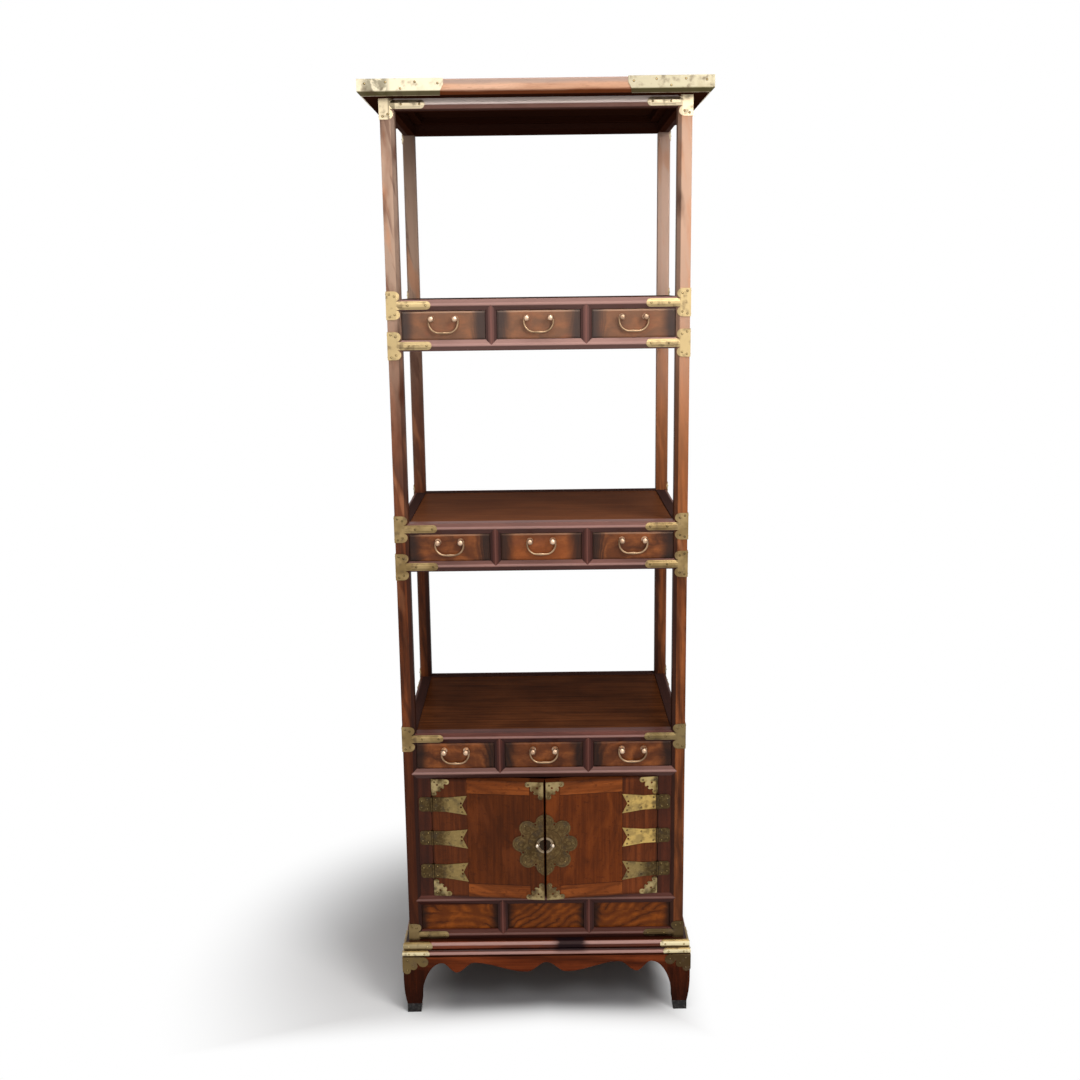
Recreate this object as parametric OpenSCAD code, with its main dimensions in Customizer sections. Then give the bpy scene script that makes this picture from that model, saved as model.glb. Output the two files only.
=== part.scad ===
// Three-tier etagere: open display bays over a cabinet, on a separate stand.
// Millimetres. +Z is up, the front faces -Y, the origin is on the floor under the middle.

/* [Frame] */
// Width over the corner posts
frame_w = 520; // [440:5:640]
// Depth over the corner posts
frame_d = 368; // [320:4:440]
// Side of a square corner post
post_w = 24; // [22:1:30]
// Height of every rail, and width of the stiles between drawers
rail_h = 19; // [17:1:24]

/* [Heights] */
// Open height of the fixed panel row under the doors
panel_row_h = 52; // [36:1:80]
// Open height of the door row
door_open_h = 236; // [200:2:320]
// Open height of each drawer row
drawer_open_h = 49.5; // [46:0.5:80]
// Open height of the lower display bay
bay_lower_h = 306; // [220:1:380]
// Open height of the middle display bay
bay_middle_h = 303; // [220:1:380]
// Open height of the upper display bay
bay_upper_h = 309; // [220:1:380]

/* [Mouldings and joints] */
// Width of the sloping side of a moulded edge
bevel_w = 7.5; // [5:0.5:8]
// How far the slope falls back from the crest
bevel_drop = 3; // [2:0.5:4]
// Depth of the pointed mitre behind the crest
mitre_d = 8; // [6:0.5:9]
// Thickness of a tenon
tenon_t = 8; // [5:0.5:8]
// Height of a tenon
tenon_h = 11; // [8:1:14]
// Play at the end of a tongue in its groove
tongue_play = 0.5; // [0.2:0.1:1]
// Depth that a tongue enters its rail
tongue_l = 4.5; // [3:0.5:5]

/* [Boards] */
// Thickness of a display shelf
shelf_t = 10; // [8:0.5:12]
// Glue line between the pieces of one frame, door or drawer
glue = 0.1; // [0.05:0.05:0.2]
// How far a shelf lies below the top of its rails
shelf_drop = 2; // [1:0.5:3]
// Thickness of the tongue on a shelf or a floor
tongue_t = 4; // [3:0.5:5]
// Thickness of a floor board under drawers or in the cabinet
floor_t = 8; // [6:0.5:12]
// Thickness of a side, back or front panel
panel_t = 6; // [5:0.5:8]
// How far the panels lie behind the crest of their rails
panel_set = 7; // [5:0.5:9]
// Thickness of the web of a partition between drawers
partition_t = 8; // [6:0.5:12]
// Height of the guide that a drawer side runs against
guide_h = 8; // [6:1:12]

/* [Cornice] */
// Thickness of the top board
cornice_t = 25; // [20:1:32]
// How far the top board stands out beyond the posts
cornice_over = 31; // [20:1:40]
// Width of the frame members of the top board
cornice_member_w = 72; // [60:1:100]
// Size of the chamfer under the edge of the top board
cornice_chamfer = 6; // [3:0.5:9]
// Size of the worn arris on top of that edge
cornice_round = 2; // [1:0.5:3]
// How far the panel lies below the top of its frame
top_panel_drop = 1; // [0.5:0.5:3]
// Thickness of the panel in the top board
top_panel_t = 14; // [10:1:18]

/* [Drawers] */
// Gap at each side of a drawer
drawer_gap = 0.8; // [0.5:0.1:1.5]
// Running gap under a drawer
drawer_rise = 0.3; // [0.2:0.1:0.6]
// Gap over a drawer
drawer_head = 0.9; // [0.5:0.1:1.5]
// How far a drawer front lies behind the crest of the rails
drawer_set = 2; // [1:0.5:4]
// Thickness of a drawer front
drawer_front_t = 14; // [10:1:18]
// Thickness of a drawer side and back
drawer_wall_t = 7; // [5:0.5:10]
// Thickness of a drawer bottom
drawer_bottom_t = 4; // [3:0.5:6]
// Height of the drawer bottom above the lower edge of the sides
drawer_bottom_rise = 3; // [2:0.5:5]
// Free depth behind a drawer, up to the back panel
drawer_back_gap = 13; // [8:1:60]
// Length of the dovetails between a drawer's front and sides
dovetail_l = 9; // [6:0.5:9]
// Width of a dovetail at its root
dovetail_w = 9; // [7:0.5:10]
// Width of the chamfer round a drawer front
front_chamfer = 3; // [1.5:0.5:4]
// Depth of the chamfer round a drawer front
front_chamfer_d = 1.6; // [1:0.2:2.4]

/* [Drawer pulls] */
// Distance between the two studs of a pull
stud_gap = 40.5; // [36:0.5:50]
// Height of the studs above the middle of the drawer front
stud_rise = 11; // [8:0.5:12]
// Radius of the ball at the end of a stud
stud_ball_r = 5.6; // [5:0.1:5.8]
// Radius of a stud's neck, where the bail's pins enter it
stud_neck_r = 2.8; // [2.6:0.1:3.4]
// Distance of the ball's middle in front of the bail's axis
stud_reach = 8; // [8:0.5:10]
// Radius of a stud's shank in the drawer front
stud_shank_r = 1.8; // [1.4:0.1:2]
// Radius of the round plate under a stud
stud_rose_r = 5.5; // [4.5:0.1:6.5]
// Thickness of the round plate under a stud
stud_rose_t = 0.8; // [0.5:0.1:1.5]
// Thickness of the washer that holds the shank inside the drawer
stud_washer_t = 1.4; // [1:0.1:2]
// Distance of the bail's axis from the drawer front
bail_out = 5; // [5:0.5:6]
// Radius of the bail's pins
bail_pin_r = 1.4; // [1.2:0.1:1.6]
// Clearance of the bail's pins in their holes
bail_pin_play = 0.08; // [0.05:0.01:0.1]
// Radius of the bail's wire at its arms
bail_r = 1.8; // [1.6:0.1:2]
// Radius of the bail's grip in its middle
bail_grip_r = 2.5; // [2:0.1:2.8]
// Gap between a stud's neck and the bail's arm
bail_gap = 0.3; // [0.3:0.1:1]
// Depth of the bail below its axis, to the centre line of the grip
bail_drop = 24; // [21:0.5:25]
// Radius of the bail's two corners
bail_corner_r = 18; // [12:1:20]

/* [Doors] */
// How far the doors stand ajar as modelled, in degrees
door_ajar = 6.5; // [0:0.5:8]
// Width of the fixed stile beside a door
jamb_w = 25; // [20:1:32]
// Thickness of the doors and of the fixed stiles
door_t = 18; // [15:1:22]
// How far the doors lie behind the crest of the rails
door_set = 3; // [2:0.5:4]
// Gap over, under and between the doors
door_gap = 1; // [0.6:0.1:1.5]
// Gap at the hinged edge
hinge_gap = 0.8; // [0.6:0.1:1.2]
// Width of the stile that carries the hinges
hinge_stile_w = 66; // [50:1:80]
// Width of the stile at the meeting edge
meeting_stile_w = 26; // [20:1:36]
// Width of the door's top and bottom rails
door_rail_w = 27; // [20:1:36]
// Length of the tenons on the door's rails
door_tenon_l = 16; // [10:1:18]
// How far the strip that stops the doors hangs below its rail
stop_drop = 9; // [5:1:14]
// Thickness of that strip
stop_t = 8; // [6:0.5:12]
// Gap between the closed doors and that strip
stop_gap = 0.3; // [0.2:0.1:1]

/* [Door hinges] */
// Distance between neighbouring hinges
hinge_pitch = 67; // [60:1:80]
// Height of a hinge
hinge_h = 28; // [22:1:32]
// Height of the hinge plate's flared end
hinge_flare_h = 38; // [32:1:44]
// Length of the hinge plate on the door
hinge_leaf_l = 67; // [50:1:72]
// Length of that plate's straight part, before it flares
hinge_straight_l = 27; // [15:1:40]
// Length of the hinge plate on the fixed stile
hinge_jamb_l = 23; // [16:1:24]
// Radius of the hinge knuckles
knuckle_r = 2.6; // [2.4:0.1:3]
// Radius of the hinge pin
hinge_pin_r = 1.1; // [1:0.1:1.2]
// Clearance of the hinge pin in the door's knuckle
hinge_pin_play = 0.08; // [0.05:0.01:0.1]
// Gap between knuckles, and between a knuckle and the wood
knuckle_gap = 0.35; // [0.3:0.05:0.5]

/* [Brass plates] */
// Thickness of the brass plates
plate_t = 1.2; // [0.8:0.1:1.5]
// Height of a mount on a post, where it reaches above and below a rail
mount_h = 48; // [44:1:56]
// Width of the plain strip of a mount on the post
mount_strip_w = 14; // [12:0.5:16]
// Radius of a mount's lobes
mount_lobe_r = 8.2; // [6:0.2:9]
// Distance of the lobes above and below the middle of the rail
mount_lobe_z = 15.3; // [14:0.1:18]
// Length of a mount's arm from the corner
mount_arm_l = 75; // [60:1:90]
// Height of a mount's arm
mount_arm_h = 14; // [10:0.5:16]
// Length of the plates at the corners of the top board
cornice_plate_l = 140; // [100:1:160]
// Width of those plates on top of the board
cornice_plate_w = 14; // [8:1:24]
// Length of the ogee at the end of those plates
cornice_ogee_l = 6; // [3:1:10]
// Length of a corner plate's side on a door
door_corner_l = 34; // [26:1:40]
// Radius of the lobes of a corner plate on a door
door_corner_r = 5; // [4:0.5:6]
// Radius of the lock plate between its lobes
lock_core_r = 47; // [40:1:50]
// Radius of each lobe of the lock plate
lock_lobe_r = 15.5; // [12:0.5:18]
// Distance of the lobes from the middle of the lock plate
lock_lobe_at = 44; // [38:1:46]
// Radius of the holes pierced in the lock plate and the hinge plates
pierce_r = 1.9; // [1:0.1:2]
// Distance of the lock plate's middle below the middle of the door
lock_low = 6; // [0:1:12]
// Outer radius of the ring round the lock
lock_ring_r = 15.5; // [12:0.5:18]
// Width of that ring
lock_ring_w = 3.6; // [2.5:0.1:5]
// Height of that ring above the plate
lock_ring_h = 2; // [1:0.5:3]
// Width of the raised strip along each door's meeting edge
lock_strip_w = 4.4; // [3:0.2:6]
// Radius of the lock's studs
lock_stud_r = 4.2; // [3:0.1:5]
// Distance of the middle of those studs from the door's face
lock_stud_out = 5; // [4:0.5:7]
// Distance of the lock's studs from the middle
lock_stud_at = 13.6; // [11:0.1:15]

/* [Stand] */
// How far the stand's lower bead stands out beyond the posts
stand_over = 13; // [8:0.5:18]
// How far the upper bead lies behind the lower bead
bead_step = 2; // [1:0.5:4]
// Height of the stand's upper bead
upper_bead_h = 16; // [12:0.5:20]
// Height of the stand's lower bead
lower_bead_h = 12.5; // [10:0.5:16]
// How far each bead swells
bead_swell = 4.5; // [3:0.5:6]
// Width of the stand's frame members
stand_member_w = 48; // [42:1:60]
// Height of the legs and aprons
leg_h = 100.5; // [80:0.5:130]
// Thickness of the apron boards
apron_t = 29; // [20:1:32]
// Width of a leg's foot on the front
leg_foot_w = 28; // [27:1:40]
// Width of a leg's foot on the side
side_leg_foot_w = 58; // [40:1:70]
// Height of the highest arch above the feet's tops
arch_z = 87; // [70:1:90]
// Depth of the apron's scallops
scallop_h = 20; // [10:1:24]
// How far the leg draws in at its foot
foot_draw = 5; // [2:0.5:6]
// Height over which the leg draws in
foot_draw_h = 54; // [40:1:60]
// Height of the dark feet
foot_h = 18; // [12:0.5:24]
// Side of the dark feet
foot_w = 26; // [22:1:27]
// Length of the brass band round the upper bead
band_upper_l = 57; // [45:1:75]
// Length of the brass band round the lower bead
band_lower_l = 51; // [40:1:70]
// Length of the cloud plate on the leg
cloud_l = 48; // [36:1:60]
// Height of the cloud plate on the leg
cloud_h = 35; // [26:1:44]

/* [Hidden] */
$fn = 48;
EPS = 0.02;
// How far a cutting or trimming shape runs past what it meets
PAST = 1;

TIERS = ["upper", "middle", "cabinet"];
PLACES = ["left", "centre", "right"];

// Half sizes: to the outside of the posts, and clear between them
half_w = frame_w / 2;
half_d = frame_d / 2;
in_x = half_w - post_w;
in_y = half_d - post_w;

// Heights of the rails' undersides
stand_frame_h = upper_bead_h + lower_bead_h;
apron_top = foot_h + leg_h;
z_base = apron_top + stand_frame_h;
z_sill = z_base + rail_h + panel_row_h;
z_head = z_sill + rail_h + door_open_h;
z_cab = z_head + rail_h + drawer_open_h;
z_mid_low = z_cab + rail_h + bay_lower_h;
z_mid = z_mid_low + rail_h + drawer_open_h;
z_up_low = z_mid + rail_h + bay_middle_h;
z_up = z_up_low + rail_h + drawer_open_h;
z_crown = z_up + rail_h + bay_upper_h;
z_cornice = z_crown + rail_h;
total_h = z_cornice + cornice_t;
RAILS = [z_base, z_sill, z_head, z_cab, z_mid_low, z_mid, z_up_low, z_up, z_crown];
// The rails that carry a brass mount at each corner
MOUNT_RAILS = [z_base, z_cab, z_mid_low, z_mid, z_up_low, z_up, z_crown];
// The rail under each tier's drawers
TIER_LOW = [z_up_low, z_mid_low, z_head];
// The rails that hold a floor board, and those that hold a shelf
FLOOR_RAILS = [z_base, z_head, z_mid_low, z_up_low];
SHELF_RAILS = [z_cab, z_mid, z_up];
// The rails with a panel above them, and those with a panel below
PANEL_ABOVE = [z_base, z_sill, z_head, z_mid_low, z_up_low];
PANEL_BELOW = [z_sill, z_head, z_cab, z_mid, z_up];

// Tenons start behind the mitre and end short of the tenon from the other side
tenon_set = mitre_d + 1;
tenon_l = post_w - tenon_set - tenon_t - 0.5;
groove_l = tongue_l + tongue_play;

// Drawer openings
open_w = (2 * in_x - 2 * rail_h) / 3;
stile_x = (open_w + rail_h) / 2;
OPEN_X = [-open_w - rail_h, 0, open_w + rail_h];
front_w = open_w - 2 * drawer_gap;
drawer_h = drawer_open_h - drawer_rise - drawer_head;
drawer_face = -half_d + drawer_set;
drawer_l = half_d - panel_set - panel_t - drawer_back_gap - drawer_face;
stud_z = drawer_open_h / 2 + stud_rise;
bail_y = drawer_face - bail_out;
bail_arm_x = stud_gap / 2 + stud_neck_r + bail_gap + bail_r;

// Doors: the hinge axis lies in the front surface of the hinge plates
door_face = -half_d + door_set;
hinge_x = -in_x + jamb_w;
hinge_y = door_face - plate_t;
door_h = door_open_h - 2 * door_gap;
door_x0 = hinge_x + hinge_gap / 2;
door_in_x0 = door_x0 + hinge_stile_w;
door_in_x1 = -door_gap - meeting_stile_w;
door_z = z_sill + rail_h + door_gap;
door_mid = z_sill + rail_h + door_open_h / 2;
lock_z = door_mid - lock_low;
HINGE_Z = [door_mid - hinge_pitch, door_mid, door_mid + hinge_pitch];
knuckle_h = (hinge_h - 2 * knuckle_gap) / 3;

// Half sizes over the stand and over the top board
stand_w = half_w + stand_over;
stand_d = half_d + stand_over;
cornice_w = half_w + cornice_over;
cornice_d = half_d + cornice_over;
// How far the cloud plates reach down the corner edge of a leg
cloud_edge_h = 0.8 * cloud_h;

dark_wood = "#5a2b22";
warm_wood = "#7a3f22";
figured_wood = "#8a4a20";
pale_wood = "#b98d5c";
brass = "#9c8a52";
black = "#1c1a1a";

// Points of a half turn that swells out by swell over a height h, from z0
function bead(out, z0, h, swell, n = 8) =
    [for (i = [0:n]) let (a = -90 + 180 * i / n) [out - swell + swell * cos(a), z0 + h / 2 + h / 2 * sin(a)]];

function has(list, z) = len([for (v = list) if (v == z) v]) > 0;

// Smooth step from one height to another, half a cosine wave
function wave(x0, x1, z0, z1, n) =
    [for (i = [1:n]) [x0 + (x1 - x0) * i / n, z0 + (z1 - z0) * (1 - cos(180 * i / n)) / 2]];

module mirrored_x() { children(); mirror([1, 0, 0]) children(); }
module mirrored_y() { children(); mirror([0, 1, 0]) children(); }

// A flat outline drawn in X and Z, thick d towards +Y from y = 0
module upright(d) { translate([0, d, 0]) rotate([90, 0, 0]) linear_extrude(d) children(); }
// A profile drawn as depth and height, run l along +X
module along(l) { rotate([90, 0, 90]) linear_extrude(l) children(); }

// Moulded bars: rails and stiles share one profile with a crest and two slopes
module bar_profile() {
    polygon([[bevel_drop, 0], [0, bevel_w], [0, rail_h - bevel_w], [bevel_drop, rail_h],
             [post_w, rail_h], [post_w, 0]]);
}

// The outline of a bar's front, with a right-angled point at each end
module bar_points(l) {
    upright(mitre_d)
        polygon([[0, 0], [l, 0], [l + rail_h / 2, rail_h / 2], [l, rail_h], [0, rail_h],
                 [-rail_h / 2, rail_h / 2]]);
}

module bar_tenons(l) {
    translate([-tenon_l, tenon_set, (rail_h - tenon_h) / 2]) cube([l + 2 * tenon_l, tenon_t, tenon_h]);
}

// What a bar takes out of the pieces at its ends
module bar_joint(l) {
    bar_points(l);
    bar_tenons(l);
}

module bar(l, tenons = true) {
    intersection() {
        translate([-rail_h, 0, 0]) along(l + 2 * rail_h) bar_profile();
        union() {
            bar_points(l);
            cube([l, post_w, rail_h]);
        }
    }
    if (tenons) bar_tenons(l);
}

// Grooves along the inside and edges of a rail of length l
module rail_grooves(l, z, sides) {
    if (has(SHELF_RAILS, z))
        translate([-EPS, post_w - groove_l, tongue_of_shelf()]) cube([l + 2 * EPS, groove_l + EPS, tongue_t]);
    if (has(FLOOR_RAILS, z))
        translate([-EPS, post_w - groove_l, tongue_of_floor()]) cube([l + 2 * EPS, groove_l + EPS, tongue_t]);
    if (sides || z < z_sill)
        if (has(PANEL_ABOVE, z))
            translate([-EPS, panel_set, rail_h - groove_l]) cube([l + 2 * EPS, panel_t, groove_l + EPS]);
    if (sides || z == z_sill)
        if (has(PANEL_BELOW, z))
            translate([-EPS, panel_set, -EPS]) cube([l + 2 * EPS, panel_t, groove_l + EPS]);
}

// Heights of the tongues above the underside of their rails
function tongue_of_shelf() = rail_h - shelf_drop - (shelf_t + tongue_t) / 2;
function tongue_of_floor() = rail_h - (floor_t + tongue_t) / 2;

// A stile of height h that stands on z, centred on x
module place_stile(x, z) { translate([x + rail_h / 2, -half_d, z]) rotate([0, -90, 0]) children(); }

// Where the front stiles stand: above this rail, and below that one
function stiles_above(z) = z == z_base || z == z_head || z == z_mid_low || z == z_up_low;
function stiles_below(z) = z == z_sill || z == z_cab || z == z_mid || z == z_up;

// Open height over a rail, and under one
function row_height(z) = z == z_base ? panel_row_h : z == z_sill ? door_open_h : drawer_open_h;
function row_below(z) = z == z_sill ? panel_row_h : drawer_open_h;

module front_rail(z) {
    difference() {
        translate([-in_x, -half_d, z]) bar(2 * in_x);
        translate([-in_x, -half_d, z]) rail_grooves(2 * in_x, z, false);
        for (s = [-1, 1]) {
            if (stiles_above(z)) place_stile(s * stile_x, z + rail_h) bar_points(row_height(z));
            if (stiles_below(z)) place_stile(s * stile_x, z - row_below(z)) bar_points(row_below(z));
        }
    }
}

module back_rail(z) {
    mirror([0, 1, 0]) difference() {
        translate([-in_x, -half_d, z]) bar(2 * in_x);
        translate([-in_x, -half_d, z]) rail_grooves(2 * in_x, z, true);
    }
}

// The left side's rail runs from back to front with its crest to the left
module place_side(z) { translate([-half_w, in_y, z]) rotate([0, 0, -90]) children(); }

module side_rails(z) {
    mirrored_x() difference() {
        place_side(z) bar(2 * in_y);
        place_side(z) rail_grooves(2 * in_y, z, true);
    }
}

module rails(levels) {
    color(dark_wood) for (z = levels) {
        front_rail(z);
        back_rail(z);
        side_rails(z);
    }
}

// Front left post; the others are its mirror images
module post_blank(grow = 0) {
    translate([0, 0, z_base]) linear_extrude(z_cornice - z_base)
        polygon([[-half_w - grow, -half_d - grow], [-in_x - bevel_w, -half_d - grow],
                 [-in_x, -half_d + bevel_drop - grow], [-in_x, -in_y],
                 [-half_w + bevel_drop - grow, -in_y], [-half_w - grow, -in_y - bevel_w]]);
}

module post() {
    color(dark_wood) difference() {
        post_blank();
        for (z = RAILS) {
            translate([-in_x, -half_d, z]) bar_joint(2 * in_x);
            place_side(z) bar_joint(2 * in_y);
        }
    }
}

module post_front_left() { post(); }
module post_front_right() { mirror([1, 0, 0]) post(); }
module post_back_left() { mirror([0, 1, 0]) post(); }
module post_back_right() { mirror([1, 0, 0]) mirror([0, 1, 0]) post(); }

// One member of a mitred frame with half sizes a and b: it lies along the front, m wide.
// Its profile is drawn as the distance out from the frame's edge, and the height above z.
module frame_member(a, b, m, z, h) {
    intersection() {
        translate([-a, -b, z]) mirror([0, 1, 0]) along(2 * a) children();
        translate([0, 0, z - PAST]) linear_extrude(h + 2 * PAST)
            polygon([[-a - PAST + glue, -b - PAST], [a + PAST - glue, -b - PAST],
                     [a - m - glue, -b + m], [-a + m + glue, -b + m]]);
    }
}

module mitred_frame(a, b, m, z, h) {
    mirrored_y() frame_member(a, b, m, z, h) children();
    mirrored_x() rotate([0, 0, -90]) frame_member(b, a, m, z, h) children();
}

// Top board: four mitred members round a panel
module cornice_profile() {
    r = cornice_round;
    polygon([[-cornice_member_w, 0], [-cornice_chamfer, 0], [0, cornice_chamfer], [0, cornice_t - r],
             [-0.3 * r, cornice_t - 0.3 * r], [-r, cornice_t], [-cornice_member_w, cornice_t]]);
}

module top_panel_slab(grow) {
    w = cornice_w - cornice_member_w;
    d = cornice_d - cornice_member_w;
    top = total_h - top_panel_drop;
    translate([-w, -d, top - top_panel_t]) cube([2 * w, 2 * d, top_panel_t]);
    translate([-w - grow, -d - grow, top - (top_panel_t + tongue_t) / 2])
        cube([2 * (w + grow), 2 * (d + grow), tongue_t]);
}

module top_frame() {
    color(warm_wood) difference() {
        mitred_frame(cornice_w, cornice_d, cornice_member_w, z_cornice, cornice_t) cornice_profile();
        top_panel_slab(groove_l);
    }
}

module top_panel() { color(warm_wood) top_panel_slab(tongue_l); }

// Rails
module crown_rails() { rails([z_crown]); }
module upper_tier_rails() { rails([z_up_low, z_up]); }
module middle_tier_rails() { rails([z_mid_low, z_mid]); }
module cabinet_rails() { rails([z_base, z_sill, z_head, z_cab]); }

// A board whose edges lie between the rails, with a tongue into their grooves
module tongued_board(top, t) {
    translate([-in_x, -in_y, top - t]) cube([2 * in_x, 2 * in_y, t]);
    translate([0, 0, top - (t + tongue_t) / 2]) {
        translate([-in_x, -in_y - tongue_l, 0]) cube([2 * in_x, 2 * (in_y + tongue_l), tongue_t]);
        translate([-in_x - tongue_l, -in_y, 0]) cube([2 * (in_x + tongue_l), 2 * in_y, tongue_t]);
    }
}

module shelf(z) { color(figured_wood) tongued_board(z + rail_h - shelf_drop, shelf_t); }
module upper_shelf() { shelf(z_up); }
module middle_shelf() { shelf(z_mid); }
module cabinet_shelf() { shelf(z_cab); }

module floor_boards() { color(pale_wood) for (z = FLOOR_RAILS) tongued_board(z + rail_h, floor_t); }

// A panel over the rail at z, let into the rails above and below it
module fixed_panel(l, z, h) {
    translate([0, panel_set, z + rail_h - tongue_l]) cube([l, panel_t, h + 2 * tongue_l]);
}

module side_panels() {
    color(figured_wood) mirrored_x() for (z = PANEL_ABOVE)
        place_side(z) translate([0, 0, -z]) fixed_panel(2 * in_y, z, row_height(z));
}

module back_panels() {
    color(warm_wood) mirror([0, 1, 0]) for (z = PANEL_ABOVE)
        translate([-in_x, -half_d, 0]) fixed_panel(2 * in_x, z, row_height(z));
}

module front_panels() {
    color(figured_wood) for (x = OPEN_X)
        translate([x - open_w / 2, -half_d, 0]) fixed_panel(open_w, z_base, panel_row_h);
}

module front_stiles() {
    color(dark_wood) for (s = [-1, 1]) {
        place_stile(s * stile_x, z_base + rail_h) bar(panel_row_h, false);
        for (z = TIER_LOW) place_stile(s * stile_x, z + rail_h) bar(drawer_open_h, false);
    }
}

// Behind each stile a partition with a foot that guides the drawers, and a guide at each side
module drawer_partitions() {
    web_h = drawer_open_h + rail_h - shelf_drop - shelf_t;
    back = in_y + post_w - panel_set - panel_t;
    color(pale_wood) for (z = TIER_LOW) {
        for (s = [-1, 1])
            translate([s * stile_x, -in_y + glue, z + rail_h]) {
                translate([-rail_h / 2, 0, 0]) cube([rail_h, back + in_y - glue, guide_h]);
                translate([-partition_t / 2, 0, 0]) cube([partition_t, 2 * in_y - glue, web_h]);
            }
        mirrored_x() translate([-half_w + panel_set + panel_t, -in_y, z + rail_h])
            cube([post_w - panel_set - panel_t, 2 * in_y, guide_h]);
    }
}

module door_jambs() {
    color(dark_wood) mirrored_x() difference() {
        translate([-in_x, door_face, z_sill + rail_h]) cube([jamb_w - hinge_gap / 2, door_t, door_open_h]);
        knuckle_room();
    }
}

// A rebated strip behind the head rail that the doors close against
module door_stop() {
    front = door_face + door_t + stop_gap;
    color(dark_wood) translate([-in_x, 0, z_head]) along(2 * in_x)
        polygon([[front, -stop_drop], [stop_t - in_y, -stop_drop], [stop_t - in_y, rail_h - floor_t],
                 [-in_y, rail_h - floor_t], [-in_y, 0], [front, 0]]);
}

// Stand: a mitred frame with two beads, aprons with legs, and dark feet
module stand_profile() {
    polygon(concat([[-stand_member_w, 0]],
                   bead(0, 0, lower_bead_h, bead_swell),
                   bead(-bead_step, lower_bead_h, upper_bead_h, bead_swell),
                   [[-stand_member_w, stand_frame_h]]));
}

module stand_frame() {
    color(warm_wood) mitred_frame(stand_w, stand_d, stand_member_w, apron_top, stand_frame_h) stand_profile();
}

// Where the lower edge of an apron turns, as shares of the clear half length:
// from a small arch in the middle to a lobe, an arch, a cusp and an arch beside the leg
WAVES = [0, 0.155, 0.575, 0.715, 0.83];
function wave_z(i) = i % 2 == 0 ? arch_z : arch_z - scallop_h;

// Right half of the lower edge; the leg's inner edge is a quarter of an ellipse
function apron_edge(inner) = let (x = [for (w = WAVES) w * inner], last = x[4]) concat(
    [[0, arch_z]],
    [for (i = [1:4]) each wave(x[i - 1], x[i], wave_z(i - 1), wave_z(i), 6)],
    [for (i = [1:10]) [last + (inner - last) * sin(9 * i), arch_z * cos(9 * i)]]);

// Outline of an apron with its two legs: half length a, foot width foot
module apron_outline(a, foot) {
    edge = apron_edge(a - foot_draw - foot);
    right = concat(edge, [[a, 0], [a, leg_h]]);
    n = len(right) - 1;
    polygon(concat(right, [for (i = [n:-1:1]) [-right[i][0], right[i][1]]]));
}

// Legs draw in towards the foot on every side, along a parabola
module drawn_in(a) {
    right = concat([for (t = [0:0.2:1]) [a - foot_draw * (1 - t) ^ 2, foot_draw_h * t]], [[a, leg_h]]);
    n = len(right) - 1;
    polygon(concat(right, [for (i = [n:-1:0]) [-right[i][0], right[i][1]]]));
}

module apron(a, b, foot) {
    intersection() {
        translate([0, -b, foot_h]) upright(apron_t) apron_outline(a, foot);
        translate([0, -b - PAST, foot_h]) upright(apron_t + 2 * PAST) drawn_in(a);
        translate([-a, 0, foot_h]) along(2 * a) drawn_in(b);
        translate([0, 0, foot_h]) linear_extrude(leg_h)
            polygon([[-a + glue, -b], [a - glue, -b], [a - apron_t - glue, -b + apron_t],
                     [-a + apron_t + glue, -b + apron_t]]);
    }
}

module stand_aprons() {
    color(warm_wood) {
        mirrored_y() apron(stand_w, stand_d, leg_foot_w);
        mirrored_x() rotate([0, 0, -90]) apron(stand_d, stand_w, side_leg_foot_w);
    }
}

module stand_feet() {
    color(black) mirrored_x() mirrored_y()
        translate([-stand_w + foot_draw, -stand_d + foot_draw, 0]) cube([foot_w, foot_w, foot_h]);
}

// Brass mounts are sheets folded over the wood: the wood's surface grown by the plate, less the wood
module mount_outline(corner) {
    translate([-corner, -mount_h / 2]) square([mount_strip_w + corner, mount_h]);
    for (s = [-1, 1]) translate([mount_strip_w, s * mount_lobe_z]) circle(mount_lobe_r);
    translate([0, -mount_arm_h / 2]) square([mount_arm_l - mount_arm_h / 2, mount_arm_h]);
    translate([mount_arm_l - mount_arm_h / 2, 0]) circle(mount_arm_h / 2);
}

module mount_zone(corner) {
    translate([0, -plate_t - PAST, rail_h / 2]) upright(bevel_drop + plate_t + PAST) mount_outline(corner);
}

module corner_wood(z, grow) {
    post_blank(grow);
    translate([-half_w + bevel_w, -half_d - grow, z]) along(mount_arm_l + post_w) bar_profile();
    mirror([1, -1, 0]) translate([-half_d + bevel_w, -half_w - grow, z])
        along(mount_arm_l + post_w) bar_profile();
}

module corner_sheet(z) {
    difference() {
        corner_wood(z, plate_t);
        corner_wood(z, 0);
    }
}

module front_corner_mounts() {
    color(brass) mirrored_x() for (z = MOUNT_RAILS) intersection() {
        corner_sheet(z);
        union() {
            translate([-half_w, -half_d, z]) mount_zone(plate_t);
            mirror([1, -1, 0]) translate([-half_d, -half_w, z]) mount_zone(plate_t);
        }
    }
}

// At the back corners only the sides carry a mount
module back_corner_mounts() {
    color(brass) mirrored_x() mirror([0, 1, 0]) for (z = MOUNT_RAILS) intersection() {
        corner_sheet(z);
        mirror([1, -1, 0]) translate([-half_d, -half_w, z]) mount_zone(0);
    }
}

module cornice_wood(grow) {
    a = cornice_w + grow;
    b = cornice_d + grow;
    intersection() {
        translate([-a, 0, z_cornice]) along(2 * a) cornice_end(b, grow);
        translate([0, a, 0]) rotate([90, 0, 0]) linear_extrude(2 * a)
            translate([0, z_cornice]) cornice_end(a, grow);
    }
}

module cornice_end(a, grow) {
    polygon([[cornice_chamfer - a, 0], [a - cornice_chamfer, 0], [a, cornice_chamfer], [a, cornice_t + grow],
             [-a, cornice_t + grow], [-a, cornice_chamfer]]);
}

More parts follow.
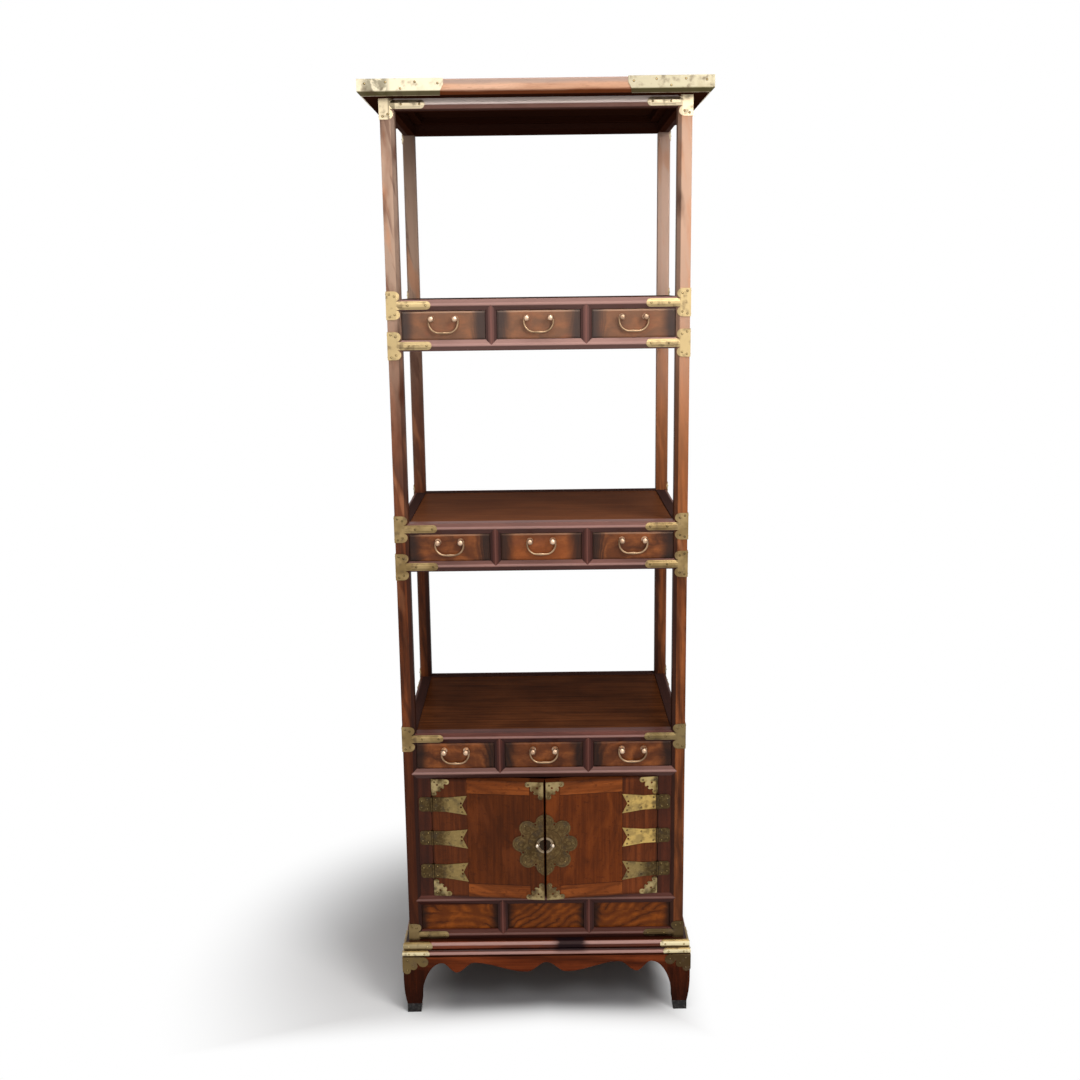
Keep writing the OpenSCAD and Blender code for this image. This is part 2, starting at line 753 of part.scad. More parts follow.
// Where a corner plate of the top board covers its edge: the end is drawn as an ogee
module cornice_zone() {
    l = cornice_plate_l;
    translate([-cornice_w, -cornice_d - 2 * plate_t, z_cornice]) upright(cornice_plate_w + 2 * plate_t)
        polygon(concat([[-2 * plate_t, -PAST], [l - cornice_ogee_l, -PAST]],
                       wave(l - cornice_ogee_l, l, cornice_t / 4, cornice_t * 0.6, 6),
                       [[l, cornice_t + 2 * PAST], [-2 * plate_t, cornice_t + 2 * PAST]]));
}

module cornice_mounts() {
    color(brass) mirrored_x() mirrored_y() intersection() {
        difference() {
            cornice_wood(plate_t);
            cornice_wood(0);
        }
        union() {
            cornice_zone();
            mirror([1, -1, 0]) translate([-cornice_d + cornice_w, -cornice_w + cornice_d, 0]) cornice_zone();
        }
    }
}

module stand_wood(grow) {
    intersection() {
        translate([-stand_w - grow, 0, apron_top]) along(2 * (stand_w + grow)) stand_end(stand_d + grow);
        translate([0, stand_w + grow, 0]) rotate([90, 0, 0]) linear_extrude(2 * (stand_w + grow))
            translate([0, apron_top]) stand_end(stand_w + grow);
    }
}

module stand_end(a) {
    right = concat(bead(a, 0, lower_bead_h, bead_swell),
                   bead(a - bead_step, lower_bead_h, upper_bead_h, bead_swell));
    n = len(right) - 1;
    polygon(concat(right, [for (i = [n:-1:0]) [-right[i][0], right[i][1]]]));
}

// A band round one bead at the front left corner
module band_zone(z0, h, l) {
    translate([-stand_w, -stand_d - 2 * plate_t, apron_top + z0]) upright(stand_over) {
        translate([-2 * plate_t, 0]) square([l - h / 2 + 2 * plate_t, h]);
        translate([l - h / 2, h / 2]) circle(h / 2);
    }
}

module band(z0, h, l) {
    intersection() {
        difference() {
            stand_wood(plate_t);
            stand_wood(0);
        }
        union() {
            band_zone(z0, h, l);
            mirror([1, -1, 0]) translate([stand_w - stand_d, stand_d - stand_w, 0]) band_zone(z0, h, l);
        }
    }
}

// Outline of the cloud plate on one face of a leg, from the corner of the leg down and along
module cloud_outline() {
    translate([0, -0.36 * cloud_h]) square([0.7 * cloud_l, 0.36 * cloud_h]);
    translate([0, -cloud_edge_h]) square([0.3 * cloud_l, cloud_edge_h]);
    translate([cloud_l * 0.79, -0.21 * cloud_l]) circle(0.21 * cloud_l);
    translate([cloud_l * 0.4, -0.52 * cloud_h]) circle(0.23 * cloud_h);
    translate([cloud_l * 0.15, -0.79 * cloud_h]) circle(0.2 * cloud_h);
}

module cloud() {
    intersection() {
        translate([-stand_w, -stand_d - plate_t, apron_top - glue]) upright(plate_t) cloud_outline();
        translate([-stand_w, -stand_d - plate_t, foot_h + foot_draw_h]) cube([cloud_l, plate_t, leg_h]);
    }
}

module stand_mounts() {
    color(brass) mirrored_x() mirrored_y() {
        band(glue, lower_bead_h - 2 * glue, band_lower_l);
        band(lower_bead_h + glue, upper_bead_h - 2 * glue, band_upper_l);
        cloud();
        mirror([1, -1, 0]) translate([stand_w - stand_d, stand_d - stand_w, 0]) cloud();
        translate([-stand_w - plate_t, -stand_d - plate_t, apron_top - glue - cloud_edge_h])
            cube([plate_t, plate_t, cloud_edge_h]);
    }
}

// Doors: drawn closed on the left, then swung out about the hinge axis
module swung() {
    translate([hinge_x, hinge_y, 0]) rotate([0, 0, -door_ajar]) translate([-hinge_x, -hinge_y, 0]) children();
}

// Room for the knuckles in the wood beside them
module knuckle_room() {
    for (z = HINGE_Z) translate([hinge_x, hinge_y, z - hinge_h / 2 - knuckle_gap])
        cylinder(r = knuckle_r + knuckle_gap, h = hinge_h + 2 * knuckle_gap);
}

// A board of the door; set back and thinner it is a tenon or a tongue
module door_board(x0, x1, z0, z1, t = door_t) {
    translate([x0, door_face + (door_t - t) / 2, z0]) cube([x1 - x0, t, z1 - z0]);
}

// Tenons of the two rails, and the tongue round the panel; the mortises are grown by the glue line
module door_tenons(grow) {
    for (z = [door_z, door_z + door_h - door_rail_w])
        door_board(door_in_x0 - door_tenon_l - grow, door_in_x1 + door_tenon_l + grow,
                   z + door_rail_w / 4 - grow, z + 3 * door_rail_w / 4 + grow, tongue_t + 2 * grow);
}

module door_tongue(grow) {
    l = tongue_l + grow;
    door_board(door_in_x0 - l, door_in_x1 + l, door_z + door_rail_w - l, door_z + door_h - door_rail_w + l,
               tongue_t + 2 * grow);
}

module door_panel() {
    door_board(door_in_x0 + glue, door_in_x1 - glue,
               door_z + door_rail_w + glue, door_z + door_h - door_rail_w - glue);
    door_tongue(0);
}

module door() {
    top = door_z + door_h;
    color(warm_wood) swung() {
        difference() {
            union() {
                door_board(door_x0, door_in_x0, door_z, top);
                door_board(door_in_x1, -door_gap, door_z, top);
            }
            door_tenons(glue);
            door_tongue(glue);
            knuckle_room();
        }
        difference() {
            union() {
                for (z = [door_z, top - door_rail_w])
                    door_board(door_in_x0 + glue, door_in_x1 - glue, z, z + door_rail_w);
                door_tenons(0);
            }
            door_tongue(glue);
        }
        door_panel();
    }
}

module door_left() { door(); }
module door_right() { mirror([1, 0, 0]) door(); }

// A knuckle of the hinge, numbered from the bottom
module knuckle(z, i, bore) {
    translate([hinge_x, hinge_y, z - hinge_h / 2 + i * (knuckle_h + knuckle_gap)]) difference() {
        cylinder(r = knuckle_r, h = knuckle_h);
        if (bore > 0) translate([0, 0, -PAST]) cylinder(r = bore, h = knuckle_h + 2 * PAST);
    }
}

// Free space round the knuckles that belong to the other half of the hinge
module knuckle_clear(z, i) {
    translate([hinge_x, hinge_y, z - hinge_h / 2 + i * (knuckle_h + knuckle_gap) - knuckle_gap])
        cylinder(r = knuckle_r + knuckle_gap, h = knuckle_h + 2 * knuckle_gap);
}

// Outline of the plate on the fixed stile, with its far corners cut off
module jamb_plate() {
    c = hinge_h / 8;
    polygon([[0, -hinge_h / 2], [0, hinge_h / 2], [c - hinge_jamb_l, hinge_h / 2],
             [-hinge_jamb_l, hinge_h / 2 - c], [-hinge_jamb_l, c - hinge_h / 2],
             [c - hinge_jamb_l, -hinge_h / 2]]);
}

module hinge_jamb_plates() {
    color(brass) mirrored_x() for (z = HINGE_Z) {
        difference() {
            translate([hinge_x, hinge_y, z]) upright(plate_t) jamb_plate();
            knuckle_clear(z, 1);
        }
        for (i = [0, 2]) knuckle(z, i, 0);
        translate([hinge_x, hinge_y, z - hinge_h / 2]) cylinder(r = hinge_pin_r, h = hinge_h);
    }
}

// Fishtail outline with a notched end and two pierced holes
module fishtail() {
    notch = hinge_leaf_l - hinge_h / 3;
    difference() {
        polygon([[0, -hinge_h / 2], [hinge_straight_l, -hinge_h / 2], [hinge_leaf_l, -hinge_flare_h / 2],
                 [notch, 0], [hinge_leaf_l, hinge_flare_h / 2], [hinge_straight_l, hinge_h / 2],
                 [0, hinge_h / 2]]);
        for (s = [-1, 1]) translate([notch - pierce_r, s * 2 * pierce_r]) circle(pierce_r);
    }
}

// The door's half of a hinge: the plate on the door's face, and the middle knuckle
module hinge_door_plate(z) {
    difference() {
        translate([hinge_x, hinge_y, z]) upright(plate_t) fishtail();
        for (i = [0, 2]) knuckle_clear(z, i);
        translate([hinge_x, hinge_y, z - hinge_h])
            cylinder(r = hinge_pin_r + hinge_pin_play, h = 2 * hinge_h);
    }
    knuckle(z, 1, hinge_pin_r + hinge_pin_play);
}

// A corner plate drawn from its corner: a triangle whose long side has four lobes and a notch
module door_corner_outline() {
    r = door_corner_r;
    l = door_corner_l;
    difference() {
        union() {
            polygon([[0, 0], [l - r, 0], [l - r, r], [r, l - r], [0, l - r]]);
            for (m = [0, 1]) mirror([m, -m]) {
                square([l - r, r]);
                translate([l - r, r]) circle(r);
                translate([l / 2 + r / 2, l / 2 - r / 2]) circle(r);
            }
        }
        translate([l / 2 + r / 2, l / 2 + r / 2]) circle(r / 2);
        translate([l / 3, l / 3]) circle(pierce_r);
    }
}

module door_corner(x, z, to_right, to_top) {
    translate([x, door_face - plate_t, z]) mirror([to_right ? 0 : 1, 0, 0]) mirror([0, 0, to_top ? 0 : 1])
        upright(plate_t) door_corner_outline();
}

// The left half of the lock plate: eight lobes round a disc, pierced between the lobes,
// with a point at the top and bottom
module lock_outline() {
    difference() {
        union() {
            circle(lock_core_r);
            for (i = [0:7]) rotate(45 * i) translate([lock_lobe_at, 0]) circle(lock_lobe_r);
            for (s = [-1, 1]) rotate(90 * s) translate([lock_lobe_at + lock_lobe_r / 2, 0])
                rotate(45) square(lock_lobe_r, center = true);
        }
        for (i = [0:7]) rotate(45 * i + 22.5) translate([lock_core_r - 2 * pierce_r, 0]) circle(pierce_r);
        translate([-door_gap, -3 * lock_core_r]) square(6 * lock_core_r);
    }
}

module lock_half() {
    h = lock_lobe_at + lock_lobe_r;
    translate([0, door_face - plate_t, lock_z]) upright(plate_t) lock_outline();
    translate([0, door_face - plate_t - lock_ring_h, lock_z]) upright(lock_ring_h) intersection() {
        difference() {
            circle(lock_ring_r);
            circle(lock_ring_r - lock_ring_w);
        }
        translate([-2 * lock_ring_r - door_gap, -lock_ring_r]) square([2 * lock_ring_r, 2 * lock_ring_r]);
    }
    translate([-door_gap - lock_strip_w, door_face - plate_t - lock_ring_h / 2, lock_z - h])
        cube([lock_strip_w, lock_ring_h / 2, 2 * h]);
    translate([-lock_stud_at, door_face, lock_z]) rotate([90, 0, 0]) {
        cylinder(r = lock_stud_r / 2, h = lock_stud_out);
        translate([0, 0, lock_stud_out]) sphere(r = lock_stud_r);
    }
}

module door_mounts() {
    color(brass) swung() {
        for (z = HINGE_Z) hinge_door_plate(z);
        for (z = [door_z, door_z + door_h]) {
            door_corner(door_x0, z, true, z < door_mid);
            door_corner(-door_gap, z, false, z < door_mid);
        }
        lock_half();
    }
}

module door_left_mounts() { door_mounts(); }
module door_right_mounts() { mirror([1, 0, 0]) door_mounts(); }

// Drawers: a front, two sides dovetailed into it, a back, and a bottom let into grooves
module drawer_front() {
    w = front_w / 2;
    y1 = drawer_face + front_chamfer_d;
    y2 = drawer_face + drawer_front_t;
    difference() {
        intersection() {
            translate([-w, 0, 0]) along(2 * w)
                polygon([[y1, 0], [drawer_face, front_chamfer], [drawer_face, drawer_h - front_chamfer],
                         [y1, drawer_h], [y2, drawer_h], [y2, 0]]);
            linear_extrude(drawer_h)
                polygon([[-w, y1], [front_chamfer - w, drawer_face], [w - front_chamfer, drawer_face],
                         [w, y1], [w, y2], [-w, y2]]);
        }
        dovetails(glue);
        drawer_bottom(glue);
        for (s = [-1, 1]) translate([s * stud_gap / 2, drawer_face, stud_z - drawer_rise])
            rotate([-90, 0, 0]) cylinder(r = stud_shank_r + glue, h = drawer_front_t + EPS);
    }
}

module dovetails(grow) {
    w = dovetail_w / 2 + grow;
    tip = w + dovetail_l / 5;
    mirrored_x() for (s = [-1, 1])
        translate([-front_w / 2 - grow, drawer_face + drawer_front_t, drawer_h / 2 + s * drawer_h / 4])
            along(drawer_wall_t + 2 * grow)
                polygon([[2 * glue, -w], [2 * glue, w],
                         [-dovetail_l - grow, tip], [-dovetail_l - grow, -tip]]);
}

module drawer_bottom(grow) {
    w = front_w / 2 - drawer_wall_t / 2 + grow;
    y = drawer_face + drawer_front_t - drawer_wall_t / 2 - grow;
    translate([-w, y, drawer_bottom_rise - grow])
        cube([2 * w, drawer_face + drawer_l + grow - y, drawer_bottom_t + 2 * grow]);
}

module drawer_box() {
    back_z = drawer_bottom_rise + drawer_bottom_t + glue;
    drawer_front();
    difference() {
        union() {
            mirrored_x() translate([-front_w / 2, drawer_face + drawer_front_t + glue, 0])
                cube([drawer_wall_t, drawer_l - drawer_front_t - glue, drawer_h]);
            intersection() {
                dovetails(0);
                translate([-front_w / 2, drawer_face, 0]) cube([front_w, drawer_l, drawer_h]);
            }
        }
        drawer_bottom(glue);
    }
    translate([-front_w / 2 + drawer_wall_t + glue, drawer_face + drawer_l - drawer_wall_t, back_z])
        cube([front_w - 2 * (drawer_wall_t + glue), drawer_wall_t, drawer_h - back_z]);
    drawer_bottom(0);
}

// Height of the underside of a tier's drawers
function drawer_z(tier) = TIER_LOW[tier] + rail_h + drawer_rise;

module drawer(tier, place) {
    color(figured_wood) translate([OPEN_X[place], 0, drawer_z(tier)]) drawer_box();
}

// A stud: a round plate, a neck with a cross hole for the bail, a ball in front of it,
// and a shank riveted over a washer inside the drawer
module stud() {
    difference() {
        translate([0, drawer_face, 0]) rotate([90, 0, 0])
            cylinder(r = stud_neck_r, h = bail_out + stud_reach - stud_ball_r / 2);
        translate([-2 * stud_neck_r, bail_y, 0]) rotate([0, 90, 0])
            cylinder(r = bail_pin_r + bail_pin_play, h = 4 * stud_neck_r);
    }
    translate([0, bail_y - stud_reach, 0]) sphere(r = stud_ball_r);
    translate([0, drawer_face, 0]) rotate([90, 0, 0]) cylinder(r = stud_rose_r, h = stud_rose_t);
    translate([0, drawer_face, 0]) rotate([-90, 0, 0])
        cylinder(r = stud_shank_r, h = drawer_front_t + stud_washer_t);
    translate([0, drawer_face + drawer_front_t, 0]) rotate([-90, 0, 0])
        cylinder(r = 2 * stud_shank_r, h = stud_washer_t);
}

// Where the pull of one drawer has its axis
module place_pull(tier, place) {
    translate([OPEN_X[place], 0, TIER_LOW[tier] + rail_h + stud_z]) children();
}

module studs(tier, place) {
    color(brass) place_pull(tier, place) for (s = [-1, 1]) translate([s * stud_gap / 2, 0, 0]) stud();
}

// A bail hangs from its pins: two arms, two round corners, and a grip that swells to its middle
module bail(tier, place) {
    arm_l = bail_drop - bail_corner_r;
    grip_x = bail_arm_x - bail_corner_r;
    color(brass) place_pull(tier, place) translate([0, bail_y, 0]) mirrored_x() {
        translate([-bail_arm_x, 0, 0]) rotate([0, 90, 0])
            cylinder(r = bail_pin_r, h = bail_arm_x - stud_gap / 2 + stud_neck_r / 2);
        translate([-bail_arm_x, 0, 0]) sphere(r = bail_r);
        translate([-bail_arm_x, 0, -arm_l]) cylinder(r = bail_r, h = arm_l);
        translate([-grip_x, 0, -arm_l]) rotate([-90, 0, 0]) rotate([0, 0, 90])
            rotate_extrude(angle = 90) translate([bail_corner_r, 0]) circle(bail_r);
        translate([-grip_x, 0, -bail_drop]) rotate([0, 90, 0])
            cylinder(r1 = bail_r, r2 = bail_grip_r, h = grip_x);
    }
}

post_front_left();
post_front_right();
post_back_left();
post_back_right();
crown_rails();
upper_tier_rails();
middle_tier_rails();
cabinet_rails();
top_frame();
top_panel();
upper_shelf();
middle_shelf();
cabinet_shelf();
floor_boards();
side_panels();
back_panels();
front_panels();
front_stiles();
drawer_partitions();
door_jambs();
door_stop();
stand_frame();
stand_aprons();
stand_feet();
front_corner_mounts();
back_corner_mounts();
cornice_mounts();
stand_mounts();
hinge_jamb_plates();
door_left();
door_right();
door_left_mounts();
door_right_mounts();
for (t = [0:2], p = [0:2]) {
    drawer(t, p);
    studs(t, p);
    bail(t, p);
}
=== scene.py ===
"""Looks of a three-tier etagere with brass mounts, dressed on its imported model."""
import math
from functools import reduce

import bpy
import numpy as np
from mathutils import Matrix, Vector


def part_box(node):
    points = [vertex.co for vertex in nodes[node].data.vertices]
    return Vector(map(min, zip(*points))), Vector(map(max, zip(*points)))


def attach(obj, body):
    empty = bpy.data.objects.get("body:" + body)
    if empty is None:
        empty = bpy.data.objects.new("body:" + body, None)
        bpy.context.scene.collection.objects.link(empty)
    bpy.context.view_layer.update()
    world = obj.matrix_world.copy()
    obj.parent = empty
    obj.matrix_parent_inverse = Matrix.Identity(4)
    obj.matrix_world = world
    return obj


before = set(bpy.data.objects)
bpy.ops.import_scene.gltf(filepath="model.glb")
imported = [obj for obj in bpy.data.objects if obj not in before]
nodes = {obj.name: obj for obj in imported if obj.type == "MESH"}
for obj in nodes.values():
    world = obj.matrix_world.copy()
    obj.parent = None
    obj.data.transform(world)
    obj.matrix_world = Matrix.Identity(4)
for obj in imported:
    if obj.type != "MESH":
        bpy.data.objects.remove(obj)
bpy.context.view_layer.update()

# Sizes of the wood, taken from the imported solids, in metres
post_low, post_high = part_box("post_front_left")
HALF_W, HALF_D = -post_low.x, -post_low.y
CORNICE_Z = post_high.z
_, cornice_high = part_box("top_frame")
CORNICE_W, CORNICE_D, TOP_Z = cornice_high.x, cornice_high.y, cornice_high.z
stand_low, stand_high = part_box("stand_frame")
STAND_W, STAND_D = stand_high.x, stand_high.y
APRON_TOP = stand_low.z

# Thickness of the brass, and widths of a post, of a rail or stile, and of a drawer opening
PLATE = 0.0012
POST = 0.024
RAIL = 0.019
OPENING = 0.144667

# Undersides of the rails: with mounts, with drawers above, all of them, the ones painted with a
# highlight, the crown
MOUNT_LEVELS = (0.147, 0.5415, 0.8665, 0.935, 1.257, 1.3255, 1.6535)
TIER_LEVELS = (0.473, 0.8665, 1.257)
RAIL_LEVELS = (0.147, 0.218, 0.473, 0.5415, 0.8665, 0.935, 1.257, 1.3255, 1.6535)
HIGHLIGHT_LEVELS = (0.473, 1.257)
CROWN = MOUNT_LEVELS[-1]
# Heights of a rail's crest and lower slope over its underside, and where front rails begin in Y
CREST, LOWER_SLOPE = 0.0108, 0.0036
RAIL_BACK = HALF_D - POST + 0.0001

# Doors: the hinge axis of the left one, its swing at rest, and its frame
HINGE_X, HINGE_Y = -0.211, -0.1822
AJAR = math.radians(6.5)
DOOR_LOW, DOOR_HIGH = 0.238, 0.472
DOOR_MIDDLE = 0.355
HINGES = (0.288, 0.355, 0.422)
DOOR_EDGE = HINGE_X + 0.0004
STILE_EDGE = DOOR_EDGE + 0.066
MEETING_EDGE = -0.027
DOOR_END = -0.001
BAND = 0.027
LOCK_Z = 0.349
LOCK_RING = 0.0137

# Softness of a sharp border between two woods
SHARP = 0.0002
# Relief of the woods: its depth in metres, and how strongly it shows
FINE, OPEN, COARSE = (0.00025, 0.4), (0.0003, 0.4), (0.0003, 0.45)
SMOOTH, ROUGH = (0.0002, 0.25), (0.0005, 0.5)


def tone(red, green, blue):
    """Linear colour of a display colour given as three numbers from 0 to 255."""
    part = np.array([red, green, blue]) / 255
    linear = np.where(part < 0.04045, part / 12.92, ((part + 0.055) / 1.055) ** 2.4)
    return (*map(float, linear), 1.0)


class Field:
    """A number, vector or colour that varies over a surface; arithmetic on it adds Math nodes."""

    def __init__(self, graph, socket):
        self.graph, self.socket = graph, socket

    def maths(self, operation, *others):
        return self.graph.node("ShaderNodeMath", {"operation": operation}, (self, *others))

    def most(self, other):
        return self.maths("MAXIMUM", other)

    def least(self, other):
        return self.maths("MINIMUM", other)

    def __add__(self, other):
        return self.maths("ADD", other)

    def __sub__(self, other):
        return self.maths("SUBTRACT", other)

    def __rsub__(self, other):
        return self.graph.node("ShaderNodeMath", {"operation": "SUBTRACT"}, (other, self))

    def __mul__(self, other):
        return self.maths("MULTIPLY", other)

    def __abs__(self):
        return self.maths("ABSOLUTE")

    __radd__, __rmul__ = __add__, __mul__


class Graph:
    """A node tree to which expressions on fields add their nodes."""

    def __init__(self, tree):
        self.tree = tree

    def node(self, kind, settings, inputs, output=0):
        """Adds a node: its settings first, then its sockets by order or by name."""
        made = self.tree.nodes.new(kind)
        for key, value in settings.items():
            setattr(made, key, value)
        pairs = inputs.items() if isinstance(inputs, dict) else enumerate(inputs)
        for key, value in pairs:
            self.feed(made, key, value)
        return Field(self, made.outputs[output])

    def feed(self, made, key, value):
        """Links a field to a node's socket, or sets the socket to a plain value."""
        if isinstance(value, Field):
            self.tree.links.new(value.socket, made.inputs[key])
        else:
            made.inputs[key].default_value = value

    def seen(self):
        """1 for rays from the camera, in gloss or through glass, and 0 for light on surfaces."""
        rays = ("Camera", "Glossy", "Transmission")
        paths = [self.node("ShaderNodeLightPath", {}, (), f"Is {ray} Ray") for ray in rays]
        return reduce(Field.most, paths)


class Finish(Graph):
    """A material on object coordinates. Its colours are fields or display colours."""

    def __init__(self, name):
        self.material = bpy.data.materials.new(name)
        self.material.use_nodes = True
        super().__init__(self.material.node_tree)
        self.shader = self.tree.nodes["Principled BSDF"]
        self.place = self.node("ShaderNodeTexCoord", {}, (), "Object")
        self.axes = [self.node("ShaderNodeSeparateXYZ", {}, (self.place,), axis) for axis in "XYZ"]
        self.x, self.y, self.z = self.axes
        self.upright = self.z, self.x, self.y

    def point(self, x, y, z):
        return self.node("ShaderNodeCombineXYZ", {}, (x, y, z))

    def noise(self, point, scale, detail=2.0, rough=0.5, bend=0.0):
        values = (point, scale, detail, rough, bend)
        names = ("Vector", "Scale", "Detail", "Roughness", "Distortion")
        return self.node("ShaderNodeTexNoise", {}, dict(zip(names, values)))

    def drawn(self, axes, scales, detail=2.0, rough=0.5, bend=0.0):
        """Noise drawn out by a scale of its own along each of three axes."""
        point = self.point(*(axis * scale for axis, scale in zip(axes, scales)))
        return self.noise(point, 1.0, detail, rough, bend)

    def span(self, value, low, high):
        """Smooth step from 0 at low to 1 at high, or the other way round where low is larger."""
        ends = (high, low, 1.0, 0.0) if low > high else (low, high, 0.0, 1.0)
        settings = {"interpolation_type": "SMOOTHSTEP"}
        return self.node("ShaderNodeMapRange", settings, (value, *ends))

    def away(self, x, z):
        """Distance of a point at x and z from the axis along Y."""
        point = self.point(x, 0.0, z)
        return self.node("ShaderNodeVectorMath", {"operation": "LENGTH"}, (point,), "Value")

    def blend(self, factor, first, second):
        """Colour that goes from first to second as factor goes from 0 to 1."""
        first, second = (c if isinstance(c, Field) else tone(*c) for c in (first, second))
        sockets = {0: factor, 6: first, 7: second}
        return self.node("ShaderNodeMix", {"data_type": "RGBA"}, sockets, 2)

    def stained(self, colour, *stains):
        """The colour under stains laid one over the other, each a mask and a colour."""
        for mask, stain in stains:
            colour = self.blend(mask, colour, stain)
        return colour

    def wear(self, colour, rough, metal=0.0, height=None, relief=FINE):
        """Feeds the shader: colour, roughness and metallic as they vary, and a relief."""
        for name, value in (("Base Color", colour), ("Roughness", rough), ("Metallic", metal)):
            self.feed(self.shader, name, value)
        if height is not None:
            depth, push = relief
            sockets = {"Strength": push, "Distance": depth, "Height": height}
            self.feed(self.shader, "Normal", self.node("ShaderNodeBump", {}, sockets))

    def wood(self, colour, rough, height, relief, share=0.0, coat_rough=0.32):
        """The material of a wood that shines only by its thin lacquer, a coat of that share."""
        self.wear(colour, rough, height=height, relief=relief)
        self.shader.inputs["Specular IOR Level"].default_value = 0.0
        self.shader.inputs["Coat Roughness"].default_value = coat_rough
        self.feed(self.shader, "Coat Weight", share)
        return self.material


def planed(finish, axes, shades, bands=55.0, sway=1.5, slant=0.0, lines=0.5, mottle=0.3):
    """Colour, relief and streaks of planed wood.

    axes are the distances along the grain, across it and through the board, and shades its light,
    dark and vein colours. Growth bands are a triangle wave of the distance across the grain, bands
    to a metre, pushed sideways by slow noise times sway and turned by slant. Fibres are noise drawn
    out along the grain, pores are its darkest dashes, lines says how strongly the late wood of each
    band shows, and mottle how dark the slanting clouds are.
    """
    light, dark, vein = shades
    along, across, depth = axes
    slow = finish.drawn(axes, (3.0, 11.0, 11.0))
    reach = (across + depth * 0.7 + along * slant) * bands + slow * (sway * 2.0)
    band = reach.maths("PINGPONG", 1.0)
    late = finish.span(band, 0.5, 1.0)
    streak = finish.drawn(axes, (4.0, 150.0, 150.0), 3.0, 0.6)
    fibre = finish.drawn(axes, (14.0, 1100.0, 1100.0))
    pore = finish.span(finish.drawn(axes, (90.0, 1900.0, 1900.0), 1.0), 0.60, 0.70)
    patch = finish.noise(finish.place, 9.0, 3.0)
    leaning = across + depth + along * 0.16
    cloud = finish.drawn((along, leaning, depth), (7.0, 46.0, 30.0), 3.0, 0.6, 0.4)
    share = finish.span(streak * 0.5 + fibre * 0.25 + patch * 0.5, 0.46, 0.8)
    colour = finish.stained(
        finish.blend(share, dark, light),
        (finish.span(cloud, 0.5, 0.66) * mottle, vein),
        (late * lines, vein),
        (pore * 0.4, vein),
    )
    return colour, fibre * 0.6 + band * 0.25 - pore * 0.8, streak


def along_edges(finish, inner):
    """Grain axes of a frame: along X on its front and back, and along Y on its sides.

    inner is the distance from the middle, along Y, at which the front and back members begin.
    """
    front = finish.span(abs(finish.y), inner, inner + SHARP)
    side = 1 - front
    along = finish.x * front + finish.y * side
    return along, finish.y * front + finish.x * side, finish.z


def nearest_level(finish, levels):
    """Height above or below the nearest of the given levels."""
    return reduce(Field.least, [abs(finish.z - level) for level in levels])


def rail_wood():
    """Dark lacquered rails, the grain along each, paler higher up by painted glare: a painted
    highlight on the crest and a broad one on two rails, and painted shade on the lower and inner
    slopes.
    """
    finish = Finish("rail_wood")
    colour, height, streak = planed(
        finish, along_edges(finish, RAIL_BACK), ((108, 62, 52), (76, 40, 33), (50, 25, 21)),
        bands=90.0, sway=1.0, lines=0.35, mottle=0.25,
    )
    pale = nearest_level(finish, [level + RAIL / 2 for level in HIGHLIGHT_LEVELS])
    highlight_share = finish.span(finish.z, 0.3, 0.9) * 0.14 + 0.16
    crest = nearest_level(finish, [level + CREST for level in RAIL_LEVELS])
    slope = nearest_level(finish, [level + LOWER_SLOPE for level in RAIL_LEVELS])
    between = finish.span(abs(finish.y), HALF_D - 0.0235, HALF_D - 0.0245)
    inside = finish.span(abs(finish.x), HALF_W - 0.005, HALF_W - 0.0075) * between
    behind = finish.span(finish.y, HALF_D - 0.005, HALF_D - 0.0075)
    behind = behind * finish.span(finish.y, HALF_D - 0.0245, HALF_D - 0.0235)
    colour = finish.stained(
        colour,
        # Painted glare: paler higher up
        (finish.span(finish.z, 0.45, 1.6) * 0.56, (182, 144, 134)),
        # Painted highlight, broad and soft, on two of the rails, stronger higher up
        (finish.span(pale, 0.013, 0.009) * highlight_share, (196, 154, 142)),
        # Painted highlight along each crest
        (finish.span(crest, 0.0026, 0.0010) * 0.42, (198, 156, 146)),
        (finish.span(finish.z, 0.3, 0.22) * 0.5, (74, 36, 24)),
        # Painted shade on each lower slope
        (finish.span(slope, 0.0054, 0.0036) * 0.68, (42, 18, 17)),
        # Painted shade on the inner faces of the side and back rails
        ((inside + behind) * 0.86, (60, 42, 38)),
    )
    lacquer = (1 - inside - behind) * 0.22
    return finish.wood(colour, 0.34 + streak * 0.16, height, FINE, lacquer, 0.26)


def crown_wood():
    """Rails under the top board: the front one made pale by painted light on its upper slope and
    darkened by painted shade on its lower one, the others dark with painted shade.
    """
    finish = Finish("crown_wood")
    colour, height, streak = planed(
        finish, along_edges(finish, RAIL_BACK), ((158, 123, 111), (139, 102, 92), (100, 69, 60)),
        bands=90.0, sway=1.0, lines=0.35, mottle=0.25,
    )
    in_shade = finish.span(finish.y, -HALF_D + 0.0118, -HALF_D + 0.0128)
    out = (abs(finish.x) - HALF_W).most(abs(finish.y) - HALF_D)
    colour = finish.stained(
        colour,
        # Painted light on the front rail's upper slope, which the top board shades
        (finish.span(finish.z, CROWN + 0.0076, CROWN + 0.0096) * 0.95, (255, 236, 226)),
        # Painted shade on the lower slope
        (finish.span(finish.z, CROWN + 0.0034, CROWN + 0.001) * 0.8, (44, 24, 20)),
        # Painted shade on the back and side rails
        (in_shade * finish.span(out, -0.011, -0.0128) * 0.995, (58, 29, 19)),
    )
    return finish.wood(colour, 0.4 + streak * 0.16, height, FINE)


def period(finish):
    """Distance along X from the middle of the nearest drawer opening."""
    return finish.x.maths("PINGPONG", (OPENING + RAIL) / 2)


